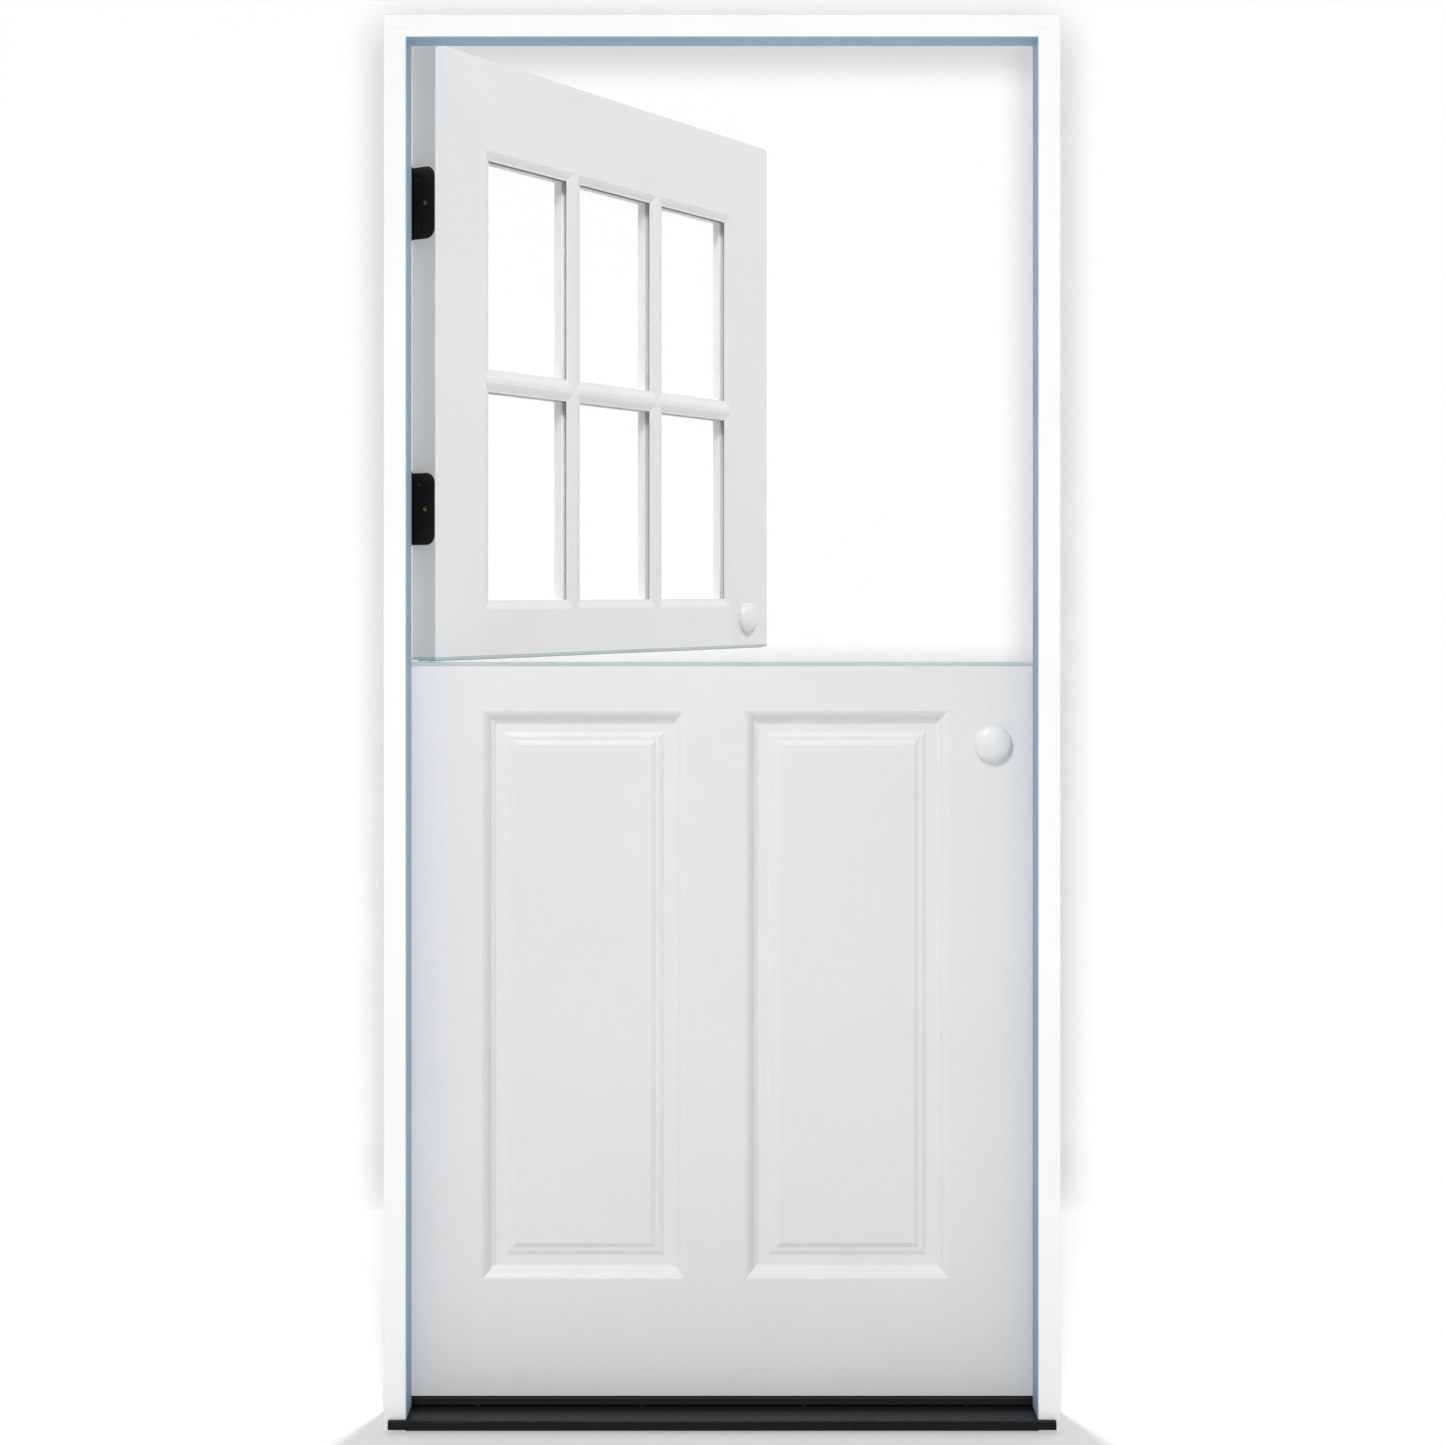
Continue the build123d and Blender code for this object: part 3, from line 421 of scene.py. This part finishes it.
wire(tone_patches, spread.outputs["Result"], blend.inputs[mix_share])
wire(tone_patches, given.outputs["Pale"], blend.inputs[mix_first])
wire(tone_patches, given.outputs["Deep"], blend.inputs[mix_second])
wire(tone_patches, blend.outputs[mix_out], made.inputs["Tone"])
wire(tone_patches, spread.outputs["Result"], made.inputs["Share"])
print("tone_patches:", len(tone_patches.nodes), "nodes")

# %% Effect: the skin of sprayed paint or moulded vinyl
sprayed_skin, given, made = start_effect(
    "sprayed_skin",
    [("Place", "NodeSocketVector"), ("Grains", "NodeSocketFloat"), ("Waves", "NodeSocketFloat")],
    [("Height", "NodeSocketFloat")],
)
grains = put(sprayed_skin, "ShaderNodeTexNoise", {"Detail": 2.0, "Roughness": 0.5})
waves = put(sprayed_skin, "ShaderNodeTexNoise", {"Detail": 1.0, "Roughness": 0.4})
total = put(sprayed_skin, "ShaderNodeMath", operation="ADD")
wire(sprayed_skin, given.outputs["Place"], grains.inputs["Vector"])
wire(sprayed_skin, given.outputs["Place"], waves.inputs["Vector"])
wire(sprayed_skin, given.outputs["Grains"], grains.inputs["Scale"])
wire(sprayed_skin, given.outputs["Waves"], waves.inputs["Scale"])
wire(sprayed_skin, grains.outputs["Fac"], total.inputs[0])
wire(sprayed_skin, waves.outputs["Fac"], total.inputs[1])
wire(sprayed_skin, total.outputs[0], made.inputs["Height"])
print("sprayed_skin:", len(sprayed_skin.nodes), "nodes")

# %% Effect: long streaks
long_streaks, given, made = start_effect(
    "long_streaks",
    [("Place", "NodeSocketVector"), ("Along", "NodeSocketVector"), ("Wander", "NodeSocketFloat")],
    [("Height", "NodeSocketFloat")],
)
stretch = put(long_streaks, "ShaderNodeVectorMath", operation="MULTIPLY")
streaks = put(long_streaks, "ShaderNodeTexNoise", {"Scale": 1.0, "Detail": 4.0, "Roughness": 0.65})
wire(long_streaks, given.outputs["Place"], stretch.inputs[0])
wire(long_streaks, given.outputs["Along"], stretch.inputs[1])
wire(long_streaks, stretch.outputs[0], streaks.inputs["Vector"])
wire(long_streaks, given.outputs["Wander"], streaks.inputs["Distortion"])
wire(long_streaks, streaks.outputs["Fac"], made.inputs["Height"])
print("long_streaks:", len(long_streaks.nodes), "nodes")

# %% Effect: dust that settles on what faces up
settled_dust, given, made = start_effect(
    "settled_dust",
    [("Place", "NodeSocketVector"), ("Amount", "NodeSocketFloat"),
     ("Clean", "NodeSocketColor"), ("Dust", "NodeSocketColor")],
    [("Tone", "NodeSocketColor"), ("Share", "NodeSocketFloat")],
)
lie = put(settled_dust, "ShaderNodeNewGeometry")
split = put(settled_dust, "ShaderNodeSeparateXYZ")
upward = put(settled_dust, "ShaderNodeMapRange", {"From Min": 0.55, "From Max": 1.0})
drift = put(settled_dust, "ShaderNodeTexNoise", {"Scale": 34.0, "Detail": 6.0, "Roughness": 0.7})
catch = put(settled_dust, "ShaderNodeMapRange", {"From Min": 0.4, "From Max": 0.75})
both = put(settled_dust, "ShaderNodeMath", operation="MULTIPLY")
amount = put(settled_dust, "ShaderNodeMath", operation="MULTIPLY")
blend = put(settled_dust, "ShaderNodeMix", data_type="RGBA")
wire(settled_dust, lie.outputs["Normal"], split.inputs[0])
wire(settled_dust, split.outputs["Z"], upward.inputs["Value"])
wire(settled_dust, given.outputs["Place"], drift.inputs["Vector"])
wire(settled_dust, drift.outputs["Fac"], catch.inputs["Value"])
wire(settled_dust, upward.outputs["Result"], both.inputs[0])
wire(settled_dust, catch.outputs["Result"], both.inputs[1])
wire(settled_dust, both.outputs[0], amount.inputs[0])
wire(settled_dust, given.outputs["Amount"], amount.inputs[1])
wire(settled_dust, amount.outputs[0], blend.inputs[mix_share])
wire(settled_dust, given.outputs["Clean"], blend.inputs[mix_first])
wire(settled_dust, given.outputs["Dust"], blend.inputs[mix_second])
wire(settled_dust, blend.outputs[mix_out], made.inputs["Tone"])
wire(settled_dust, amount.outputs[0], made.inputs["Share"])
print("settled_dust:", len(settled_dust.nodes), "nodes")

# %% [markdown]
# ## Primer
# Frame and leaves leave the works in a sprayed primer. The frame's is a plain white, the
# leaves' a pale grey white. Close by it is never quite even: it lies a little thicker in
# places, it has the fine orange peel of a spray gun, and the grain of the wood shows faintly
# through it along each member. The leaf that stands open carries its grain round with it,
# so the pattern of its cross members is turned by the same angle.

# %% Helper: sprayed primer over grained wood
def primer(name, pale, deep, along, turn=0.0):
    """Primer whose tone runs from pale to deep; along is how tightly the grain is packed."""
    material, tree, shader = start_finish(name, pale, 0.5)
    coordinates = put(tree, "ShaderNodeTexCoord")
    turned = put(tree, "ShaderNodeMapping", {"Rotation": (0.0, 0.0, turn)})
    wire(tree, coordinates.outputs["Object"], turned.inputs["Vector"])
    tone = place_effect(tree, tone_patches, Patches=2.4, Pale=pale, Deep=deep)
    skin = place_effect(tree, sprayed_skin, Grains=1500.0, Waves=260.0)
    grain = place_effect(tree, long_streaks, Along=along, Wander=0.35)
    for effect in (tone, skin, grain):
        wire(tree, turned.outputs["Vector"], effect.inputs["Place"])
    gloss = put(tree, "ShaderNodeMapRange", {"To Min": 0.42, "To Max": 0.56})
    wire(tree, tone.outputs["Share"], gloss.inputs["Value"])
    skin_bump = put(tree, "ShaderNodeBump", {"Strength": 0.22, "Distance": 0.0002})
    grain_bump = put(tree, "ShaderNodeBump", {"Strength": 0.2, "Distance": 0.0003})
    wire(tree, grain.outputs["Height"], grain_bump.inputs["Height"])
    wire(tree, skin.outputs["Height"], skin_bump.inputs["Height"])
    wire(tree, grain_bump.outputs["Normal"], skin_bump.inputs["Normal"])
    wire(tree, tone.outputs["Tone"], shader.inputs["Base Color"])
    wire(tree, gloss.outputs["Result"], shader.inputs["Roughness"])
    wire(tree, skin_bump.outputs["Normal"], shader.inputs["Normal"])
    return material


def coat(material, *names):
    """Gives CAD pieces a finish in place of the plain one they came with."""
    for name in names:
        nodes[name].data.materials.clear()
        nodes[name].data.materials.append(material)
    print(material.name, "on", len(names))


upright_grain = (95.0, 95.0, 2.6)
level_grain = (2.6, 95.0, 95.0)

# %% Frame and leaves
frame_pale, frame_deep = shade(249, 249, 248), shade(245, 245, 244)
leaf_pale, leaf_deep = shade(234, 234, 234), shade(230, 230, 230)

coat(primer("frame_primer_upright", frame_pale, frame_deep, upright_grain),
     "hinge_jamb", "latch_jamb")
coat(primer("frame_primer_level", frame_pale, frame_deep, level_grain), "head_jamb")
coat(primer("leaf_primer_upright", leaf_pale, leaf_deep, upright_grain),
     "upper_hinge_stile", "upper_lock_stile", "upright_bar_1", "upright_bar_2",
     "lower_hinge_stile", "lower_lock_stile", "lower_mullion",
     "raised_panel_left", "raised_panel_right")
coat(primer("leaf_primer_level", leaf_pale, leaf_deep, level_grain),
     "lower_top_rail", "lower_bottom_rail")
coat(primer("open_leaf_primer_level", leaf_pale, leaf_deep, level_grain, -open_turn),
     "upper_top_rail", "upper_meeting_rail", "cross_bar_1", "cross_bar_2", "cross_bar_3",
     "glazing_beads")

# %% [markdown]
# ## Vinyl
# The returns of the frame are lined with a steel-blue weatherstrip, the leaves meet on pale
# grey strips and a black sweep closes the gap over the sill. All are extruded vinyl: matt,
# with the fine skin of the die, and a little paler where they have been handled. The caps
# over the lock bores are moulded, so they take the same finish with a smoother gloss.

# %% Vinyl strips
def vinyl(name, pale, deep, roughness, grains):
    """Extruded vinyl with a fine skin; grains is how many to the metre."""
    material, tree, shader = start_finish(name, pale, roughness)
    coordinates = put(tree, "ShaderNodeTexCoord")
    tone = place_effect(tree, tone_patches, Patches=9.0, Pale=pale, Deep=deep)
    skin = place_effect(tree, sprayed_skin, Grains=grains, Waves=grains / 7)
    bump = put(tree, "ShaderNodeBump", {"Strength": 0.3, "Distance": 0.0002})
    for effect in (tone, skin):
        wire(tree, coordinates.outputs["Object"], effect.inputs["Place"])
    wire(tree, skin.outputs["Height"], bump.inputs["Height"])
    wire(tree, tone.outputs["Tone"], shader.inputs["Base Color"])
    wire(tree, bump.outputs["Normal"], shader.inputs["Normal"])
    return material


die_grains, mould_grains = 1800.0, 2600.0
coat(vinyl("blue_weatherstrip", shade(158, 184, 206), shade(149, 175, 197), 0.62, die_grains),
     "weatherstrip_hinge_side", "weatherstrip_latch_side", "weatherstrip_head")
coat(vinyl("meeting_strip", shade(196, 208, 210), shade(182, 195, 197), 0.6, die_grains),
     "upper_bottom_seal", "lower_top_strip")
coat(vinyl("black_sweep", shade(34, 34, 35), shade(26, 26, 27), 0.55, die_grains),
     "lower_bottom_sweep")
coat(vinyl("cap_plastic", shade(236, 236, 236), shade(231, 231, 231), 0.28, mould_grains),
     "upper_bore_cap", "lower_bore_cap")

# %% [markdown]
# ## Black hinges
# The hinges are powder coated: a deep matt black with a slight sheen, made of melted grains
# that leave a fine, even pebble. A clear coat on the shader gives the sheen.

# %% Powder coat
powder_black, tree, shader = start_finish("powder_black", shade(20, 20, 21), 0.5,
                                          Coat_Weight=0.25, Coat_Roughness=0.3)
coordinates = put(tree, "ShaderNodeTexCoord")
tone = place_effect(tree, tone_patches, Patches=14.0, Pale=shade(22, 22, 23),
                    Deep=shade(16, 16, 17))
pebble = place_effect(tree, sprayed_skin, Grains=2400.0, Waves=900.0)
bump = put(tree, "ShaderNodeBump", {"Strength": 0.35, "Distance": 0.0002})
gloss = put(tree, "ShaderNodeMapRange", {"To Min": 0.42, "To Max": 0.6})
for effect in (tone, pebble):
    wire(tree, coordinates.outputs["Object"], effect.inputs["Place"])
wire(tree, tone.outputs["Share"], gloss.inputs["Value"])
wire(tree, pebble.outputs["Height"], bump.inputs["Height"])
wire(tree, tone.outputs["Tone"], shader.inputs["Base Color"])
wire(tree, gloss.outputs["Result"], shader.inputs["Roughness"])
wire(tree, bump.outputs["Normal"], shader.inputs["Normal"])
coat(powder_black, *[name for name in nodes if "hinge_plate" in name or "hinge_pin" in name])

# %% [markdown]
# ## The sill
# The tread is aluminium pushed through a die, which draws fine lines along its whole length,
# then anodised nearly black. The cap on top of it is a dark bronze. Both catch a little
# dust. The lines are streaks stretched along the sill, used for tone, gloss and relief alike.
# The base under them is a black composite, moulded like the vinyl but coarser.

# %% Dark metal of the sill
def drawn_metal(name, pale, deep, metallic, dust):
    """Anodised extrusion: streaks along the sill, dust where it faces up."""
    material, tree, shader = start_finish(name, pale, 0.4, Metallic=metallic)
    coordinates = put(tree, "ShaderNodeTexCoord")
    lines = place_effect(tree, long_streaks, Along=(1.5, 900.0, 900.0), Wander=0.0)
    spread = put(tree, "ShaderNodeMapRange", {"From Min": 0.35, "From Max": 0.65})
    tone = put(tree, "ShaderNodeMix", data_type="RGBA")
    tone.inputs[mix_first].default_value = pale
    tone.inputs[mix_second].default_value = deep
    dusty = place_effect(tree, settled_dust, Amount=dust, Dust=shade(120, 116, 110))
    gloss = put(tree, "ShaderNodeMapRange", {"To Min": 0.2, "To Max": 0.38})
    bump = put(tree, "ShaderNodeBump", {"Strength": 0.35, "Distance": 0.0002})
    for effect in (lines, dusty):
        wire(tree, coordinates.outputs["Object"], effect.inputs["Place"])
    wire(tree, lines.outputs["Height"], spread.inputs["Value"])
    wire(tree, spread.outputs["Result"], tone.inputs[mix_share])
    wire(tree, tone.outputs[mix_out], dusty.inputs["Clean"])
    wire(tree, dusty.outputs["Tone"], shader.inputs["Base Color"])
    wire(tree, lines.outputs["Height"], gloss.inputs["Value"])
    wire(tree, gloss.outputs["Result"], shader.inputs["Roughness"])
    wire(tree, lines.outputs["Height"], bump.inputs["Height"])
    wire(tree, bump.outputs["Normal"], shader.inputs["Normal"])
    return material


coat(drawn_metal("anodised_tread", shade(33, 35, 40), shade(20, 22, 26),
                 metallic=0.85, dust=0.04), "sill_tread")
coat(drawn_metal("bronze_cap", shade(39, 36, 34), shade(27, 25, 24),
                 metallic=0.7, dust=0.06), "sill_cap")
coat(vinyl("sill_substrate", shade(36, 37, 38), shade(28, 29, 30),
           roughness=0.7, grains=900.0), "sill_base")

# %% [markdown]
# ## Screw metal
# The middle screw of each plate on a leaf is brass, the ones that join the frame are zinc
# plated. Both metals are smooth, with small stains of another tone and gloss, and a fine
# skin that breaks up their reflections.

# %% Brass and zinc
def screw_metal(name, pale, deep, rough_low, rough_high):
    """Bright metal with slow stains and a fine skin."""
    material, tree, shader = start_finish(name, pale, rough_low, Metallic=1.0)
    coordinates = put(tree, "ShaderNodeTexCoord")
    tone = place_effect(tree, tone_patches, Patches=420.0, Pale=pale, Deep=deep)
    skin = place_effect(tree, sprayed_skin, Grains=6000.0, Waves=1500.0)
    gloss = put(tree, "ShaderNodeMapRange", {"To Min": rough_low, "To Max": rough_high})
    bump = put(tree, "ShaderNodeBump", {"Strength": 0.15, "Distance": 0.0001})
    for effect in (tone, skin):
        wire(tree, coordinates.outputs["Object"], effect.inputs["Place"])
    wire(tree, tone.outputs["Share"], gloss.inputs["Value"])
    wire(tree, skin.outputs["Height"], bump.inputs["Height"])
    wire(tree, tone.outputs["Tone"], shader.inputs["Base Color"])
    wire(tree, gloss.outputs["Result"], shader.inputs["Roughness"])
    wire(tree, bump.outputs["Normal"], shader.inputs["Normal"])
    return material


brass = screw_metal("bright_brass", shade(214, 176, 104), shade(186, 146, 78),
                    rough_low=0.22, rough_high=0.4)
zinc = screw_metal("zinc_plate", shade(200, 200, 196), shade(172, 173, 170),
                   rough_low=0.3, rough_high=0.5)
coat(zinc, "sill_adjusters")

# %% [markdown]
# ## Screws
# A wood screw is a turned shape: a flat head, a cone under it, a shank with a helical thread
# and a point. The cross recess is pressed into the head. The grid runs from the middle of
# the head down to the point in one direction and round the axis in the other, so the recess
# is just a depth that depends on both, and the thread a radius that does.

# %% Shape of one screw, along its own axis
screw_turns = 48
head_rings = 12
head_radius = 0.0042
shank_radius = 0.0022
tip_radius = 0.0009
head_height = 0.0023
head_edge = 0.0003
point_length = 0.004
tip_height = 0.0007
plain_share = 0.35
recess_reach = 0.0027
recess_width = 0.0011
recess_depth = 0.0017
recess_slope, recess_fade = 0.35, 0.4
thread_pitch = 0.0026
thread_depth = 0.0006


def screw_skin(length):
    """Points of a screw whose head lies flat at z 0 and whose point is at z -length.

    On the head, z falls by the recess depth inside a cross: where the distance to one of the
    two arms' middle lines is under half an arm's width, fading out at the arms' reach. On
    the shank, past its plain share, the radius rises and falls once in each pitch, and
    follows the angle round.
    """
    round_head = np.linspace(0.0, 1.0, head_rings)[1:] * head_radius
    shank = np.arange(head_height, length - point_length, thread_pitch / 4)
    radius = np.concatenate((round_head, [head_radius], np.full(len(shank), shank_radius),
                             [tip_radius]))
    z = np.concatenate((np.zeros(len(round_head)), [-head_edge], -shank, [-length + tip_height]))
    angle = np.linspace(0.0, 2 * pi, screw_turns, endpoint=False)
    r, a = np.meshgrid(radius, angle, indexing="ij")
    height = np.repeat(z[:, None], screw_turns, 1)
    off_arm = np.minimum(np.abs(r * np.sin(a)), np.abs(r * np.cos(a)))
    inside = np.clip((recess_width / 2 - off_arm) / (recess_slope * recess_width) + 0.5, 0.0, 1.0)
    inside = inside * np.clip((recess_reach - r) / (recess_fade * recess_reach), 0.0, 1.0)
    on_head = np.arange(len(radius))[:, None] < len(round_head)
    height = np.where(on_head, -recess_depth * inside, height)
    threaded = (height < -length * plain_share) & (height > -length + point_length)
    wave = 0.5 + 0.5 * np.cos(2 * pi * height / thread_pitch - a)
    r = np.where(threaded, r - thread_depth * (1 - wave), r)
    points = np.stack((r * np.cos(a), r * np.sin(a), height), -1).reshape(-1, 3)
    ends = np.array([[0.0, 0.0, -recess_depth], [0.0, 0.0, -length]])
    quads = skin_faces(len(radius), screw_turns, False, True)
    first = np.arange(screw_turns)
    last = first + (len(radius) - 1) * screw_turns
    top = np.stack((np.full(screw_turns, len(points)), np.roll(first, -1), first), -1)
    tip = np.stack((np.full(screw_turns, len(points) + 1), last, np.roll(last, -1)), -1)
    return np.concatenate((points, ends)), quads, np.concatenate((top, tip))


jamb_screw, leaf_screw, corner_screw, sill_screw = 0.018, 0.028, 0.070, 0.058
sample, sample_quads, sample_fans = screw_skin(leaf_screw)
print("one screw:", len(sample), "points,", len(sample_quads) + len(sample_fans), "faces")

# %% [markdown]
# ## Where the screws go
# Their places follow the same rule as their holes: on each hinge plate one in the middle,
# near its free edge, and two outer ones nearer to the pin. A screw in the open leaf is
# turned about the pins like the leaf. All screws of a kind are one piece, worked out in one
# go: the one shape, turned into the axes of every seat.

# %% Seats
pin = np.array(frame["joints"][0]["pos_m"][:2])
upper_heights = (1.331, 1.785)
lower_heights = (0.284, 0.875)
jamb_plane = -0.46845
leaf_plane = -0.46675
outer_reach, outer_rise, middle_reach = 0.021, 0.036, 0.0325


def hinge_seats(heights, plane, outward, middle):
    """Places and outward directions of the screws of the plates at the given heights."""
    spots = [(middle_reach, 0.0)] if middle else [(outer_reach, outer_rise),
                                                  (outer_reach, -outer_rise)]
    places = [(plane, pin[1] - reach, height + rise) for height in heights
              for reach, rise in spots]
    return np.array(places), np.tile((outward, 0.0, 0.0), (len(places), 1))


def swung(places, directions, angle):
    """Seats turned about the line of the pins by an angle."""
    turn = np.array(((cos(angle), -sin(angle), 0.0), (sin(angle), cos(angle), 0.0), (0, 0, 1.0)))
    centre = np.array((*pin, 0.0))
    return (places - centre) @ turn.T + centre, directions @ turn.T


spin_step = 0.7
sharp_angle = radians(40)


def drive_screws(name, replaced, body, finish, seats, length):
    """All screws of one kind as one piece: the one shape, set out at every seat.

    A seat's axes are its outward direction and two more across it, taken from the upright or,
    for a screw that is itself upright, from the width. Each screw is spun a step further.
    """
    shape, quads, fans = screw_skin(length)
    places, outward = seats
    spin = np.arange(len(places)) * spin_step
    upright = np.where(np.abs(outward[:, 2:]) > 0.5, (1.0, 0.0, 0.0), (0.0, 0.0, 1.0))
    beside = np.cross(upright, outward)
    u = np.cos(spin)[:, None] * beside + np.sin(spin)[:, None] * upright
    v = np.cross(outward, u)
    axes = np.stack((u, v, outward), 1)
    points = (np.einsum("pk,skj->spj", shape, axes) + places[:, None]).reshape(-1, 3)
    step = (np.arange(len(places)) * len(shape))[:, None, None]
    if enclosed(shape, np.concatenate((quads, fans[:, [0, 1, 2, 2]]))) < 0:
        quads, fans = quads[:, ::-1], fans[:, ::-1]
    piece = make_piece(name, points, (quads[None] + step).reshape(-1, 4),
                       (fans[None] + step).reshape(-1, 3))
    piece.data.set_sharp_from_angle(angle=sharp_angle)
    piece.data.materials.append(finish)
    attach(piece, body)
    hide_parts(replaced)
    light_up(piece, body)
    print(name, len(places), "screws,", len(piece.data.polygons), "faces")


# %% Drive the screws of the hinges
jamb_seats = [np.concatenate(parts) for parts in zip(
    hinge_seats(lower_heights + upper_heights, jamb_plane, 1.0, True),
    hinge_seats(lower_heights + upper_heights, jamb_plane, 1.0, False))]
drive_screws("screws_in_jamb", "jamb_hinge_screws", "frame", powder_black,
             jamb_seats, jamb_screw)
for leaf, body, heights, angle in (("upper", "upper_leaf", upper_heights, open_turn),
                                   ("lower", "lower_leaf", lower_heights, 0.0)):
    drive_screws(f"black_screws_{leaf}", f"{leaf}_hinge_screws", body,
                 powder_black, swung(*hinge_seats(heights, leaf_plane, -1.0, False), angle),
                 leaf_screw)
    drive_screws(f"brass_screws_{leaf}", f"{leaf}_brass_screws", body,
                 brass, swung(*hinge_seats(heights, leaf_plane, -1.0, True), angle), leaf_screw)

# %% Drive the screws of the frame
frame_half, frame_top, board_middle = 0.4875, 2.04, 0.477975
screw_depths = (0.0255, 0.075725)
sill_screw_height = 0.004
corner_places = np.array([(hand * board_middle, depth, frame_top) for hand in (-1, 1)
                          for depth in screw_depths])
drive_screws("corner_screws", "frame_screws", "frame", zinc,
             (corner_places, np.tile((0.0, 0.0, 1.0), (len(corner_places), 1))), corner_screw)
sill_places = np.array([(hand * frame_half, depth, sill_screw_height) for hand in (-1, 1)
                        for depth in screw_depths])
sill_outward = np.array([(hand, 0.0, 0.0) for hand in (-1.0, 1.0) for _ in screw_depths])
drive_screws("sill_end_screws", "sill_screws", "frame", zinc,
             (sill_places, sill_outward), sill_screw)

# %% [markdown]
# ## Glass
# Each lite is a sealed unit of clear glass. The mouldings hide its edges, so the one slab of
# the solid stands for it, and only the finish is made here: a clear glass with hardly any
# tint, which is a very little less polished in places. In the shader, rays from lamps pass
# straight through, because otherwise a clear pane would throw a black shadow.

# %% Clear glass
clear_glass, tree, shader = start_finish("clear_glass", plain_white, 0.0, IOR=1.45,
                                         Transmission_Weight=1.0)
coordinates = put(tree, "ShaderNodeTexCoord")
tone = place_effect(tree, tone_patches, Patches=3.0, Pale=plain_white,
                    Deep=(0.985, 0.995, 0.99, 1.0))
wire(tree, coordinates.outputs["Object"], tone.inputs["Place"])
wire(tree, tone.outputs["Tone"], shader.inputs["Base Color"])
smear = put(tree, "ShaderNodeMapRange", {"To Min": 0.0, "To Max": 0.02})
wire(tree, tone.outputs["Share"], smear.inputs["Value"])
wire(tree, smear.outputs["Result"], shader.inputs["Roughness"])
path = put(tree, "ShaderNodeLightPath")
clear = put(tree, "ShaderNodeBsdfTransparent")
pick = put(tree, "ShaderNodeMixShader")
wire(tree, path.outputs["Is Shadow Ray"], pick.inputs[0])
wire(tree, shader.outputs[0], pick.inputs[1])
wire(tree, clear.outputs[0], pick.inputs[2])
wire(tree, pick.outputs[0], tree.nodes["Material Output"].inputs["Surface"])
coat(clear_glass, *[name for name in nodes if name.startswith("pane_")])
